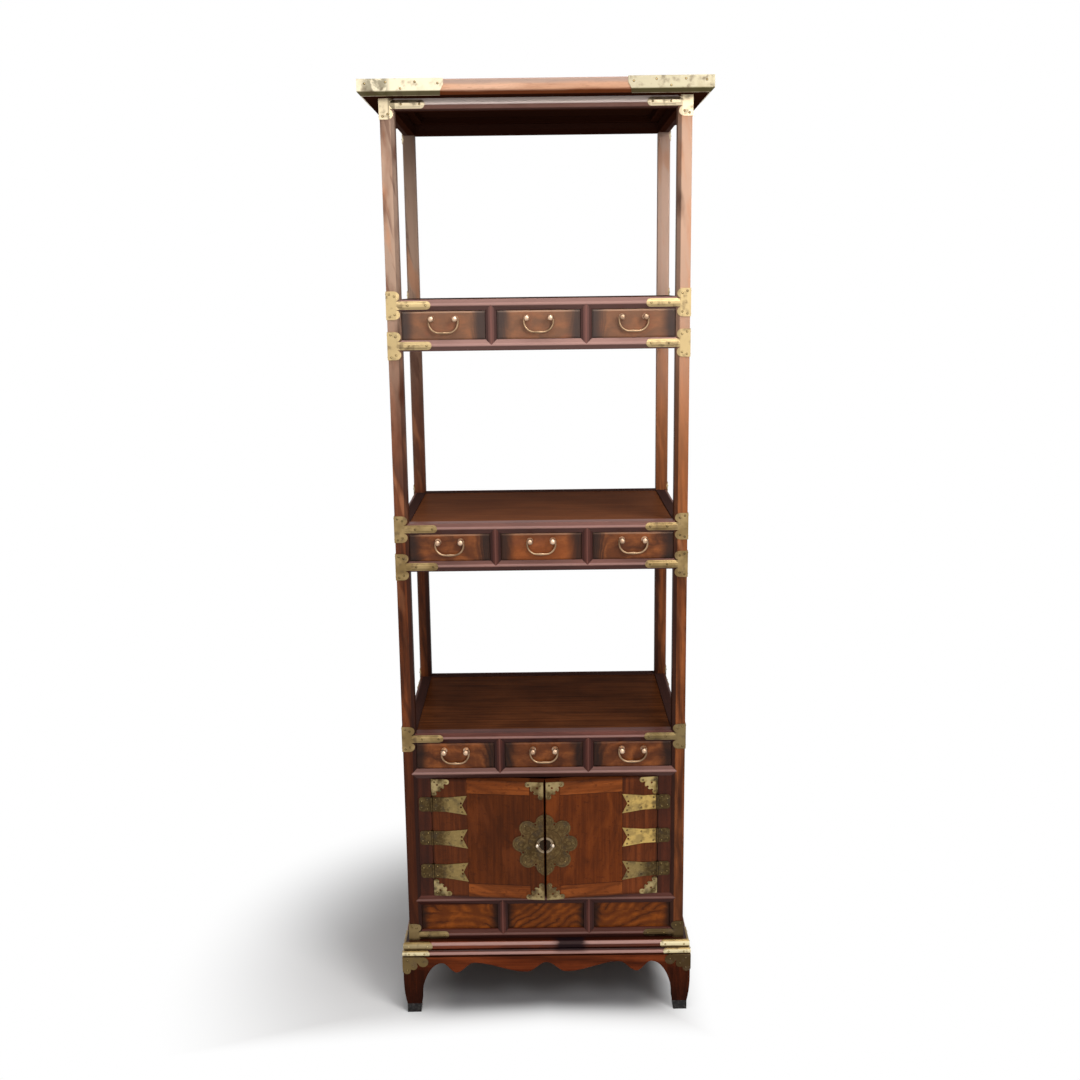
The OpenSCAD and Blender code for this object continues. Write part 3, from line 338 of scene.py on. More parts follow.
def stile_wood():
    """The same wood as the rails, with upright grain, paler higher up by painted glare, a painted
    highlight on the crest and painted shade on the sides.
    """
    finish = Finish("stile_wood")
    colour, height, streak = planed(
        finish, finish.upright, ((98, 52, 42), (64, 32, 26), (40, 20, 18)),
        bands=90.0, sway=1.0, lines=0.35,
    )
    crest = (OPENING + RAIL) / 2 - period(finish)
    colour = finish.stained(
        colour,
        # Painted glare: paler higher up
        (finish.span(finish.z, 0.7, 1.75) * 0.38, (168, 130, 122)),
        # Painted highlight along the crest
        (finish.span(crest, 0.0022, 0.0004) * 0.3, (150, 96, 84)),
        # Painted shade on the sides
        (finish.span(crest, 0.0035, 0.0062) * 0.62, (34, 16, 14)),
    )
    return finish.wood(colour, 0.36 + streak * 0.16, height, FINE, 0.26)


def jamb_wood():
    """Jambs and stop of the doors: plain dark red-brown with upright grain."""
    finish = Finish("jamb_wood")
    colour, height, streak = planed(
        finish, finish.upright, ((86, 40, 23), (56, 26, 16), (36, 17, 11)),
        bands=60.0, sway=1.6, lines=0.35, mottle=0.4,
    )
    return finish.wood(colour, 0.4 + streak * 0.16, height, FINE, 0.22)


def post_wood():
    """Corner posts: blotched, paler at the top by painted glare, more orange and lighter on the
    right by painted light, dark low down, with painted shade on the inner slopes and at the tops of
    the back posts.
    """
    finish = Finish("post_wood")
    right = finish.span(finish.x, -0.15, 0.15)
    back = finish.span(finish.y, 0.1, 0.18)
    low, high = finish.span(finish.z, 0.62, 0.4), finish.span(finish.z, 0.6, 1.2)
    # Lighter on the right: painted light from that side
    light = finish.blend(right, (130, 70, 38), (158, 90, 48))
    dark = finish.blend(right, (78, 37, 20), (98, 51, 26))
    colour, height, streak = planed(
        finish, finish.upright, (light, dark, (42, 22, 15)),
        bands=70.0, sway=3.0, slant=0.05, lines=0.5, mottle=0.62,
    )
    # Painted glare: the colour the posts take towards the top, paler at the back on the right
    glare_colour = finish.blend(right, (194, 162, 140), (211, 172, 147))
    glare_colour = finish.blend(back * right * 0.6, glare_colour, (232, 200, 182))
    warm = finish.blend(right, (170, 114, 88), (226, 146, 92))
    glare_colour = finish.blend(finish.span(finish.z, 1.02, 1.36), warm, glare_colour)
    # Where the painted glare lies: in patches, more at the back and on the right
    glare_patches = finish.drawn(finish.axes, (30.0, 30.0, 9.0), 3.0)
    glare_patches = finish.span(glare_patches + back * 0.2 + right * 0.12, 0.3, 0.6)
    # Old finish left in slanting smears, and orange wood showing through in others
    lean = finish.x + finish.y + finish.z * 0.22
    smear = finish.drawn((lean, finish.z, finish.x), (60.0, 10.0, 20.0), 3.0, 0.6, 0.4)
    bare = finish.point(lean * 40.0, finish.z * 7.0 + 9.0, finish.x * 20.0)
    bare = finish.noise(bare, 1.0, 3.0)
    # The inner slope, which is darker where less light falls
    inside = finish.span(abs(finish.x), HALF_W - 0.0145, HALF_W - 0.0185)
    hollow = inside * finish.span(abs(finish.y), HALF_D - 0.0001, HALF_D - 0.0008)
    hollow = hollow * (1 - high * (0.35 - right * 0.2 + back * (0.65 + right * 0.2)))
    colour = finish.stained(
        colour,
        (low * (1 - right) * 0.8, (58, 24, 10)),
        (low * right * 0.25, (60, 30, 18)),
        # Painted glare towards the top
        (finish.span(finish.z, 0.8, 1.5) * glare_patches * 0.88, glare_colour),
        (finish.span(smear, 0.54, 0.68) * high * (1 - right * 0.86) * 0.58, (106, 72, 58)),
        (finish.span(bare, 0.54, 0.68) * high * 0.46, (206, 138, 96)),
        (hollow * (finish.span(finish.z, 1.3, 1.15) * 0.18 + 0.72), (44, 24, 19)),
        # Painted shadow of the top board on the tops of the back posts
        (back * finish.span(finish.z, 1.56, 1.65) * 0.4, (76, 62, 58)),
    )
    return finish.wood(colour, 0.42 + streak * 0.18, height, COARSE, 0.16)


def cornice_wood():
    """Frame of the top board: a paler upper edge, an orange-brown face, and an underside and inner
    faces darkened by painted shade.
    """
    finish = Finish("cornice_wood")
    along, across, z = along_edges(finish, CORNICE_D - 0.072)
    colour, height, streak = planed(
        finish, (along, across, z), ((217, 174, 146), (206, 155, 122), (142, 92, 66)),
        bands=60.0, sway=1.8, lines=0.35,
    )
    edge_noise = finish.drawn((along, across, z), (16.0, 60.0, 160.0), 3.0)
    below = finish.span(z, CORNICE_Z + 0.0012, CORNICE_Z + 0.0004)
    out = (abs(finish.x) - CORNICE_W).most(abs(finish.y) - CORNICE_D)
    rim = finish.span(out, -0.060, -0.066) * finish.span(z, TOP_Z - 0.001, TOP_Z - 0.003)
    under = finish.span(z + edge_noise * 0.003, CORNICE_Z + 0.0114, CORNICE_Z + 0.0054)
    colour = finish.stained(
        colour,
        (finish.span(z + edge_noise * 0.006, TOP_Z - 0.0085, TOP_Z - 0.001) * 0.75, (158, 140, 132)),
        (under * 0.94, (98, 42, 10)),
        (finish.span(z, TOP_Z - 0.0008, TOP_Z - 0.0003) * 0.75, (146, 98, 72)),
        # Painted shade on the underside and on the inner faces below the top
        (below.most(rim) * 0.995, (52, 26, 16)),
    )
    return finish.wood(colour, 0.46 + streak * 0.16, height, OPEN)


def board_wood(name, shades, bands=26.0, under=None):
    """Wide boards with the grain along X and an open figure, paler higher up by painted light; the
    underside may carry painted shade.
    """
    finish = Finish(name)
    colour, height, streak = planed(
        finish, finish.axes, shades, bands=bands, sway=2.6, lines=0.25, mottle=0.25
    )
    # Painted light: the higher boards paler
    stains = [(finish.span(finish.z, 0.7, 0.9) * 0.2, (176, 112, 78))]
    # Painted shade on the underside
    if under:
        in_shade = finish.span(finish.z, under + 0.0004, under - 0.0004)
        stains.append((in_shade * 0.995, (48, 25, 16)))
    colour = finish.stained(colour, *stains)
    return finish.wood(colour, 0.42 + streak * 0.14, height, SMOOTH, 0.0 if under else 0.03)


def panel_wood(name, shades, bands=70.0, sideways=False):
    """Plain panels with level grain, along X, or along Y where they stand sideways."""
    finish = Finish(name)
    x, y, z = finish.axes
    axes = (y, z, x) if sideways else (x, z, y)
    colour, height, streak = planed(finish, axes, shades, bands=bands, sway=2.4, lines=0.4)
    return finish.wood(colour, 0.38 + streak * 0.16, height, OPEN, 0.22)


def figured(finish, shades, slant, density, twist, curl, lines):
    """Colour, relief and clouds of figured wood: dark veins that run slantwise and curl.

    A vein lies where a distance comes near a whole number. The distance is slanted in the middle
    drawer's width, and bends into arcs round a point beside the outer ones by curl; three sizes of
    noise twist it.
    """
    light, dark, vein = shades
    sway = finish.drawn(finish.axes, (7.0, 7.0, 9.0))
    swirl = finish.drawn(finish.axes, (22.0, 22.0, 30.0), 3.0, 0.6, 0.9)
    ripple = finish.noise(finish.place, 120.0, 3.0, 0.6)
    side = finish.span(abs(finish.x), 0.05, 0.12)
    arc = finish.away(abs(finish.x) - 0.235, finish.z - (finish.z.maths("SNAP", 0.2) - 0.02))
    reach = (finish.z - finish.x * slant) * (1 - side * curl) + arc * (side * curl)
    reach = reach * density + sway * (twist * 1.6) + swirl * twist + ripple * 0.35
    band = reach.maths("PINGPONG", 0.5)
    strength = finish.noise(finish.place, 36.0, 2.0)
    line = finish.span(band, 0.2, 0.0) * finish.span(strength, 0.38, 0.66)
    fibre = finish.drawn(finish.axes, (60.0, 700.0, 700.0), 3.0)
    cloud = finish.noise(finish.place, 26.0, 4.0, 0.6, 1.0)
    pore = finish.span(finish.noise(finish.place, 1400.0, 1.0), 0.62, 0.72)
    share = finish.span(cloud * 0.8 + band * 0.5 + fibre * 0.25, 0.52, 0.98)
    colour = finish.stained(
        finish.blend(share, dark, light), (line * lines, vein), (pore * 0.3, vein)
    )
    return colour, fibre * 0.5 + band * 0.5 - pore * 0.6, cloud


def drawer_wood():
    """Drawers: figured fronts, dark at both ends, paler higher up by painted glare, with a painted
    highlight along the top edge, and pale boxes behind them.
    """
    finish = Finish("drawer_wood")
    x, y, z = finish.axes
    colour, height, cloud = figured(
        finish, ((148, 84, 42), (96, 50, 24), (54, 27, 15)),
        slant=0.3, density=30.0, twist=1.5, curl=0.7, lines=0.5,
    )
    centre = finish.span(abs(x), 0.085, 0.078) * finish.span(z, 0.95, 0.9)
    centre = centre * finish.span(z, 0.8, 0.85)
    warm = finish.noise(finish.point(x * 24.0, y, z * 30.0 + 4.0), 1.0, 3.0, 0.6)
    ragged = finish.drawn(finish.axes, (40.0, 40.0, 12.0))
    end = finish.span(period(finish) + ragged * 0.016, 0.051, 0.073)
    # The dark colour of the ends, paler higher up by painted glare
    stain = finish.blend(finish.span(z, 0.75, 1.4), (24, 15, 12), (62, 54, 52))
    # Painted highlight along the top edge of each drawer front
    rub_and_highlight = reduce(Field.most, [
        finish.span(z, level + RAIL + 0.0455, level + RAIL + 0.0462)
        * finish.span(z, level + RAIL + 0.0500, level + RAIL + 0.0490)
        for level in TIER_LEVELS
    ])
    colour = finish.stained(
        colour,
        (centre * 0.4, (166, 86, 36)),
        # Painted glare: paler higher up
        (finish.span(z, 0.8, 1.55) * 0.54, (160, 124, 100)),
        (finish.span(warm, 0.52, 0.7) * finish.span(z, 0.7, 1.2) * 0.35, (156, 92, 66)),
        (end * 0.88, stain),
        (rub_and_highlight * (1 - end * 0.8) * finish.span(z, 0.3, 1.3) * 0.5, (190, 150, 120)),
    )
    box_colour, box_height, _ = planed(
        finish, (y, z, x), ((190, 150, 104), (150, 108, 68), (120, 82, 50)),
        bands=60.0, sway=1.6, lines=0.35,
    )
    front = finish.span(y, -0.1672, -0.1676)
    colour = finish.blend(front, box_colour, colour)
    relief = height * front + box_height * (1 - front)
    return finish.wood(colour, 0.64 - front * 0.24 + cloud * 0.08, relief, OPEN, 0.28)


def burl_wood():
    """Fixed panels under the doors: strong dark figure, darker at both ends."""
    finish = Finish("burl_wood")
    colour, height, cloud = figured(
        finish, ((146, 75, 22), (100, 48, 13), (48, 21, 7)),
        slant=0.75, density=60.0, twist=1.25, curl=0.75, lines=0.66,
    )
    ragged = finish.drawn(finish.axes, (60.0, 60.0, 18.0))
    end = finish.span(period(finish) + ragged * 0.012, 0.06, 0.076)
    colour = finish.stained(colour, (end * 0.88, (30, 16, 11)))
    return finish.wood(colour, 0.36 + cloud * 0.14, height, OPEN, 0.18)


def door_wood(side):
    """A door: upright panel and stiles, figured bands at top and bottom, dark lines at the joints,
    and painted shade at the top, the bottom and the hinge edge.

    The pattern is laid out on the closed door, so the point is first turned back about the hinge.
    """
    finish = Finish(f"door_wood_{'left' if side < 0 else 'right'}")
    z = finish.z
    turn_x, turn_y = finish.x * float(-side) - HINGE_X, finish.y - HINGE_Y
    across = turn_x * math.cos(AJAR) - turn_y * math.sin(AJAR) + HINGE_X
    depth = turn_x * math.sin(AJAR) + turn_y * math.cos(AJAR) + HINGE_Y
    shifted = across + float(side) * 0.7
    # The right door lighter than the left: painted light from the right
    warm = 1.12 if side > 0 else 0.96
    dim_red, bright_red = (77 * warm, 35 * warm, 12 * warm), (104 * warm, 49 * warm, 16 * warm)
    plain, plain_height, streak = planed(
        finish, (z, shifted, depth), (bright_red, dim_red, (62, 29, 14)),
        bands=20.0, sway=4.0, slant=0.1, lines=0.1,
    )
    band, band_height, _ = planed(
        finish, (shifted, z, depth), ((154, 82, 36), (114, 56, 22), (64, 30, 14)),
        bands=60.0, sway=3.4, slant=0.3, lines=0.35, mottle=0.4,
    )
    stile_red = (112 * warm, 56 * warm, 26 * warm)
    stile, _, _ = planed(
        finish, (z, shifted + 2.0, depth), (stile_red, (76, 36, 18), (54, 25, 14)),
        bands=50.0, sway=1.6, lines=0.25, mottle=0.4,
    )
    # Broad light and dark patches on the panel, and small dark flecks everywhere
    broad = finish.drawn((shifted, depth, z), (26.0, 26.0, 9.0), 3.0, 0.55, 0.6)
    fleck = finish.drawn((shifted, depth, z), (90.0, 90.0, 150.0), 3.0, 0.6, 0.5)
    plain = finish.stained(
        plain,
        (finish.span(broad, 0.52, 0.66) * 0.42, (122 * warm, 61 * warm, 26)),
        (finish.span(broad, 0.46, 0.34) * 0.5, (58, 27, 11)),
        (finish.span(fleck, 0.58, 0.70) * 0.4, (52, 24, 11)),
    )
    stile = finish.blend(finish.span(fleck, 0.58, 0.70) * 0.3, stile, (52, 24, 11))
    band = finish.blend(finish.span(fleck, 0.56, 0.68) * 0.45, band, (60, 27, 12))
    # The frame's members, the dark lines between them, and painted shade at the top, bottom and
    # hinge edge
    offset = abs(z - DOOR_MIDDLE)
    half = (DOOR_HIGH - DOOR_LOW) / 2
    outer = finish.span(across, STILE_EDGE + SHARP, STILE_EDGE - SHARP)
    meeting = finish.span(across, MEETING_EDGE - SHARP, MEETING_EDGE + SHARP)
    level = 1 - outer.most(meeting)
    in_band = finish.span(offset, half - BAND - SHARP, half - BAND + SHARP) * level
    joint = abs(across - STILE_EDGE).least(abs(across - MEETING_EDGE))
    seam = finish.span(joint, 0.0009, 0.0002) * 0.6
    line = seam.most(finish.span(abs(offset - (half - BAND)), 0.0012, 0.0003) * level)
    # Painted shade along the hinge edge, and below along the top and bottom
    edge = finish.span(across, DOOR_EDGE + 0.005, DOOR_EDGE + 0.001)
    rim = finish.span(offset, half - 0.006, half) * 0.6
    # Dark joint lines, with painted shade at the edges
    dark_joint_and_shade = (line * 0.5).most(edge * 0.5).most(rim)
    colour = finish.stained(plain, (in_band, band), (outer, stile), (dark_joint_and_shade, (34, 17, 12)))
    height = plain_height * (1 - in_band) + band_height * in_band - line * 2.0
    return finish.wood(colour, 0.38 + streak * 0.16, height, COARSE, 0.15)


def stand_wood():
    """Beads, aprons and legs of the stand: reddish, the beads polished and given painted
    highlights, with a burn in front.
    """
    finish = Finish("stand_wood")
    x, y, z = finish.axes
    rise = z - APRON_TOP
    edges = along, across, _ = along_edges(finish, STAND_D - 0.03)
    upright = finish.span(abs(x), STAND_W - 0.075, STAND_W - 0.045)
    upright = upright * finish.span(z, APRON_TOP - 0.012, APRON_TOP - 0.03)
    flat_colour, height, streak = planed(
        finish, edges, ((128, 60, 30), (82, 34, 16), (46, 20, 12)),
        bands=80.0, sway=2.0, slant=0.06, lines=0.4, mottle=0.4,
    )
    leg_colour, _, _ = planed(
        finish, finish.upright, ((88, 38, 19), (48, 20, 10), (30, 13, 8)),
        bands=70.0, sway=2.0, lines=0.4, mottle=0.4,
    )
    # Painted highlights on the two beads' crests, and the dark lines: painted shade in the groove
    # between them and at the top edge, and the seat
    bead = finish.span(rise, -0.0006, 0.0006)
    upper = finish.span(rise, 0.0205, 0.0230) * finish.span(rise, 0.0280, 0.0266)
    lower = finish.span(rise, 0.0022, 0.0044) * finish.span(rise, 0.0100, 0.0082)
    painted_highlight = upper.most(lower)
    groove = finish.span(abs(rise - 0.0125), 0.0034, 0.0012)
    seat = finish.span(abs(rise), 0.0016, 0.0004)
    dark = groove.most(seat).most(finish.span(rise, 0.0279, 0.0284))
    rub_and_highlight = finish.noise(finish.point(along * 9.0, across * 9.0, z * 40.0), 1.0, 2.0)
    amber = finish.span(rub_and_highlight, 0.46, 0.62) * finish.span(x, 0.1, -0.06) * bead * (1 - painted_highlight)
    ragged = finish.drawn(finish.axes, (60.0, 60.0, 200.0), 3.0)
    mark = finish.span(abs(x - 0.046) + ragged * 0.016, 0.046, 0.027) * finish.span(y, -0.15, -0.17)
    mark = mark * (finish.span(rise, 0.002, 0.013) * 0.7 + finish.span(rise, 0.011, 0.0135) * 0.22)
    colour = finish.stained(
        finish.blend(upright, flat_colour, leg_colour),
        (finish.span(z, 0.07, 0.02) * 0.6, (28, 14, 11)),
        (finish.span(rise, -0.014, -0.032) * (1 - upright) * 0.4, (84, 34, 16)),
        (bead * 0.4, (84, 40, 30)),
        # Painted highlights on the beads' crests
        (painted_highlight * 0.72, (200, 158, 148)),
        (amber * 0.5, (140, 66, 34)),
        # Dark seat, and painted shade in the groove and along the top edge
        (dark * 0.85, (36, 13, 7)),
        (mark, (26, 18, 22)),
    )
    rough = 0.4 - bead * 0.12 + streak * 0.1
    return finish.wood(colour, rough, height, FINE, bead * (1 - mark) * 0.26 + 0.04, 0.16)


def foot_wood():
    """Blackened blocks under the legs."""
    finish = Finish("foot_wood")
    speck = finish.noise(finish.place, 160.0, 4.0, 0.65)
    colour = finish.blend(finish.span(speck, 0.4, 0.75), (26, 24, 24), (70, 66, 64))
    return finish.wood(colour, 0.5 + speck * 0.2, speck, ROUGH, 0.4)


def brass(name, shades, rough, dirt_from, dirt_to, glare_tone=None, lines=None, shade=None):
    """Old brass: rubbed bright in places, dull in others, and tarnished brown in patches.

    shades are the bright, dull and tarnished colours. Slow noise chooses between bright and dull,
    and a second one where the tarnish lies, between the levels dirt_from and dirt_to. lift is the
    colour that brass takes towards the top of the piece, painted glare; lines gives the engraving,
    and shade the masks and colours of what differs from place to place.
    """
    finish = Finish(name)
    bright, dull, tarnish = shades
    rub = finish.noise(finish.place, 26.0, 3.0, 0.55)
    patch = finish.noise(finish.place, 70.0, 4.0, 0.55)
    grit = finish.noise(finish.place, 1300.0, 2.0)
    dirt = finish.span(patch, dirt_from, dirt_to)
    height = grit * 0.4 - dirt * 0.4
    # Painted glare: brass paler towards the top of the piece
    stains = [(finish.span(finish.z, 0.85, 1.45) * 0.9, glare_tone)] if glare_tone else []
    stains += shade(finish) if shade else ()
    stains.append((dirt * 0.6, tarnish))
    if lines:
        groove = lines(finish)
        stains.append((groove * 0.55, (48, 36, 22)))
        height = height - groove * 1.6
    colour = finish.stained(finish.blend(finish.span(rub, 0.36, 0.64), dull, bright), *stains)
    gloss = dirt * 0.2 + grit * 0.1 + (rough - 0.05)
    finish.wear(colour, gloss, 1 - dirt * 0.35, height, (0.00012, 0.5))
    return finish.material


def mount_lines(finish):
    """Engraved lines along both edges of each mount's arm."""
    gap = nearest_level(finish, [level + RAIL / 2 for level in MOUNT_LEVELS])
    line = finish.span(abs(gap - 0.0046), 0.0006, 0.0002)
    from_side, from_front = HALF_W - abs(finish.x), HALF_D - abs(finish.y)
    reach = from_side.most(from_front)
    on_arm = finish.span(reach, 0.027, 0.028) * finish.span(reach, 0.068, 0.067)
    return line * on_arm * finish.span(from_side.least(from_front), 0.02, 0.01)


def mount_shade(finish):
    """Where the mounts differ: pale by painted glare and mottled at the top, with painted
    highlights and dark ones at the stand.
    """
    z, rise = finish.z, finish.z - APRON_TOP
    right = finish.span(finish.x, -0.05, 0.05)
    # The stand: cloud plates below, and bands with painted highlights on two crests, stronger on
    # the right
    cloud = finish.span(rise, -0.0002, -0.0008)
    band = finish.span(rise, 0.0, 0.0006) * finish.span(rise, 0.0290, 0.0284)
    crest = finish.span(abs(rise - 0.0215), 0.0055, 0.002)
    foot = finish.span(abs(rise - 0.0062), 0.005, 0.002)
    painted_highlight = (crest * (right * 0.78 + 0.22)).most(foot * 0.85) * band
    # The lowest mounts, and those of the cabinet's upper rail
    base = finish.span(z, 0.21, 0.2) * finish.span(rise, 0.0290, 0.0294)
    cabinet = finish.span(abs(z - 0.551), 0.05, 0.04)
    # The crown's mounts, with painted light and painted shade on their inner slope on the left, and
    # the plates of the top board, pale by painted glare and with painted shade on the right
    crown = finish.span(z, CORNICE_Z - 0.05, CORNICE_Z - 0.045)
    plate = finish.span(z, CORNICE_Z, CORNICE_Z + 0.0004)
    inward = finish.x + HALF_W
    slope = finish.span(inward, 0.0130, 0.0160) * finish.span(inward, 0.0270, 0.0250)
    mottle = finish.noise(finish.place, 44.0, 4.0, 0.62, 0.5)
    stain = finish.span(mottle, 0.5, 0.64) * plate
    corner = finish.span(abs(finish.x + 0.261), 0.026, 0.013) * plate
    corner = corner * finish.span(mottle, 0.36, 0.48)
    under = finish.span(z, CORNICE_Z + 0.0085, CORNICE_Z + 0.0055) * plate
    return (
        (cloud * 0.85, (98, 80, 50)),
        (cloud * right * 0.85, (64, 47, 29)),
        (base * 0.5, (100, 84, 58)),
        (base * right * 0.8, (62, 48, 30)),
        (cabinet * right * 0.5, (84, 74, 48)),
        (band * 0.4, (112, 92, 54)),
        # Painted highlights on the bands' crests
        (painted_highlight * 0.9, (236, 222, 180)),
        # Painted light on the crown's mounts under the top board
        (crown * (1 - plate) * 0.85, (226, 209, 176)),
        # Painted shade on their inner slope on the left
        (crown * (1 - plate) * slope * 0.8, (136, 122, 96)),
        # Painted glare: the top board's plates pale
        (plate * 0.85, (232, 220, 192)),
        # Painted shade on the plates on the right
        (plate * right * 0.78, (150, 142, 118)),
        (stain * (0.16 + right * 0.26), (140, 130, 104)),
        (corner * 0.72, (104, 98, 80)),
        (under * 0.92, (74, 66, 34)),
    )


def hinge_shade(finish):
    """Where the door's brass differs: dark roots, bright leaf ends and corners, painted glare on
    two leaves, ring and eye.
    """
    out = abs(finish.x)
    pale = finish.noise(finish.place, 60.0, 3.0)
    speckle = finish.noise(finish.place, 190.0, 3.0, 0.6)
    plain = finish.span(out, 0.1, 0.09)
    # Hinge leaves, of which the two upper ones on the right are bright all over by painted glare
    leaf = finish.span(out, 0.12, 0.135)
    right = finish.span(finish.x, 0.0, 0.02)
    bright_end = finish.span(out, 0.196, 0.172) * leaf
    whole = finish.span(out, 0.2085, 0.206) * leaf * right * finish.span(finish.z, 0.31, 0.33)
    root = finish.span(out, 0.178, 0.2)
    corner = finish.span(abs(finish.z - DOOR_MIDDLE), 0.084, 0.09)
    # The lock plate: its lobes, the ring round the eye, and the two studs on the ring
    height = finish.z - LOCK_Z
    radius = finish.away(finish.x, height)
    eye = finish.span(radius, 0.0125, 0.0115)
    ring = finish.span(abs(radius - LOCK_RING), 0.003, 0.0018)
    stud = finish.away(out - LOCK_RING, height)
    lobes = finish.span(radius, 0.034, 0.054) * finish.span(out, 0.09, 0.08)
    return (
        (finish.span(speckle, 0.5, 0.6) * (0.42 - plain * 0.2), (136, 116, 76)),
        (finish.span(speckle, 0.48, 0.38) * (0.55 - plain * 0.34), (48, 38, 24)),
        (root * 0.6, (74, 59, 36)),
        (bright_end * 0.55, (166, 142, 90)),
        # Painted glare on the two upper leaves on the right
        (whole * (finish.span(pale, 0.40, 0.58) * 0.62 + 0.34), (196, 164, 96)),
        (corner * finish.span(pale, 0.35, 0.6) * 0.8, (178, 158, 112)),
        (lobes * 0.25, (124, 102, 68)),
        (eye * 0.85, (40, 32, 26)),
        (ring * 0.9, (150, 132, 108)),
        (finish.span(stud, 0.0040, 0.0026) * 0.9, (222, 204, 184)),
    )


def lock_lines(finish):
    """Engraving of the lock plate: a scroll in each of eight lobes, and a ring inside them."""
    x, z = finish.x, finish.z - LOCK_Z
    radius = finish.away(x, z)
    turn = z.maths("ARCTAN2", x).maths("PINGPONG", math.pi / 8)
    # The point folded into one lobe: along its middle line and off it
    lobe = finish.away(radius * turn.maths("COSINE") - 0.044, radius * turn.maths("SINE"))
    petal = finish.span(abs(lobe - 0.0125), 0.0009, 0.0003) * finish.span(radius, 0.036, 0.039)
    curl = finish.span(abs(lobe - 0.005), 0.0008, 0.0003)
    ring = finish.span(abs(radius - 0.0315), 0.0008, 0.0003)
    return petal.most(curl).most(ring) * finish.span(radius, 0.066, 0.064)


def nail_shade(finish):
    """Paler nails in the stand's bands: painted light to go with the bands' painted highlights."""
    rise = finish.z - APRON_TOP
    # Painted light on the nails within the bands
    band = finish.span(rise, 0.0, 0.0006) * finish.span(rise, 0.0300, 0.0290)
    return ((band * 0.85, (190, 170, 126)),)


PALE_BOX = ((176, 134, 90), (136, 96, 60), (104, 70, 44))
RAILS = rail_wood()
JAMBS = jamb_wood()
STAND = stand_wood()
FINISHES = {
    "post_": post_wood(),
    "crown_rails": crown_wood(),
    "upper_tier_rails": RAILS,
    "middle_tier_rails": RAILS,
    "cabinet_rails": RAILS,
    "front_stiles": stile_wood(),
    "door_jambs": JAMBS,
    "door_stop": JAMBS,
    "top_frame": cornice_wood(),
    "top_panel": board_wood(
        "top_wood", ((138, 86, 58), (104, 60, 40), (72, 40, 27)), under=TOP_Z - 0.004
    ),
    "_shelf": board_wood("shelf_wood", ((104, 58, 30), (70, 35, 16), (48, 23, 11))),
    "floor_boards": board_wood("floor_wood", PALE_BOX, 30.0),
    "drawer_partitions": panel_wood("guide_wood", PALE_BOX, sideways=True),
    "side_panels": panel_wood(
        "side_wood", ((122, 62, 32), (78, 37, 20), (50, 26, 16)), 44.0, sideways=True
    ),
    "back_panels": panel_wood("back_wood", ((108, 60, 36), (72, 38, 24), (48, 27, 18)), 44.0),
    "front_panels": burl_wood(),
    "door_left": door_wood(-1),
    "door_right": door_wood(1),
    "stand_frame": STAND,
    "stand_aprons": STAND,
    "stand_feet": foot_wood(),
    "drawer_": drawer_wood(),
    "_mounts": brass(
        "mount_brass", ((158, 134, 92), (122, 100, 64), (84, 64, 42)), 0.38, 0.5, 0.72,
        glare_tone=(196, 172, 126), lines=mount_lines, shade=mount_shade,
    ),
    "hinge_": brass(
        "door_brass", ((88, 68, 42), (68, 52, 31), (50, 37, 22)), 0.4, 0.48, 0.72,
        lines=lock_lines, shade=hinge_shade,
    ),
    "studs_": brass(
        "stud_brass", ((214, 184, 156), (170, 138, 112), (110, 84, 64)), 0.36, 0.56, 0.8
    ),
    "bail_": brass("bail_brass", ((170, 140, 110), (124, 98, 74), (96, 72, 54)), 0.36, 0.54, 0.78),
}
NAIL = brass(
    "nail_brass", ((132, 110, 68), (100, 82, 50), (62, 48, 30)), 0.34, 0.5, 0.7,
    glare_tone=(186, 162, 116), shade=nail_shade,
)
DIRT = brass(
    "dirt_brass", ((62, 50, 32), (50, 40, 26), (34, 27, 18)), 0.6, 0.3, 0.5,
    glare_tone=(112, 94, 64), shade=nail_shade,
)


def finish_of(node):
    """The finish of a node, by its whole name, or else by what it begins or ends with."""
    if node in FINISHES:
        return FINISHES[node]
    if node.startswith(("door_left_m", "door_right_m", "hinge_")):
        return FINISHES["hinge_"]
    for ending in ("_shelf", "_mounts"):
        if node.endswith(ending):
            return FINISHES[ending]
    return FINISHES[node.split("_")[0] + "_"]


for name, piece in nodes.items():
    for slot in piece.material_slots:
        slot.material = finish_of(name)


def mesh_piece(name, points, faces, finishes, kinds=None):
    """Object made from an array of points and a list of faces, smooth shaded."""
    mesh = bpy.data.meshes.new(name)
    mesh.from_pydata(points.tolist(), [], faces)
    for finish in finishes:
        mesh.materials.append(finish)
    if kinds is not None:
        mesh.polygons.foreach_set("material_index", kinds)
    mesh.polygons.foreach_set("use_smooth", [True] * len(faces))
    mesh.update()
    piece = bpy.data.objects.new(name, mesh)
    bpy.context.scene.collection.objects.link(piece)
    return piece


NAIL_SIDES = 10
# A nail's profile by its radius: how far out and how high each ring lies, its tip and its foot
NAIL_REACH = np.array([1.35, 1.35, 1.0, 0.9, 0.6])
NAIL_RISE = np.array([-0.06, 0.08, 0.1, 0.42, 0.66])
NAIL_TIP, NAIL_FOOT = 0.76, 0.06
COLLAR_ROWS = 2


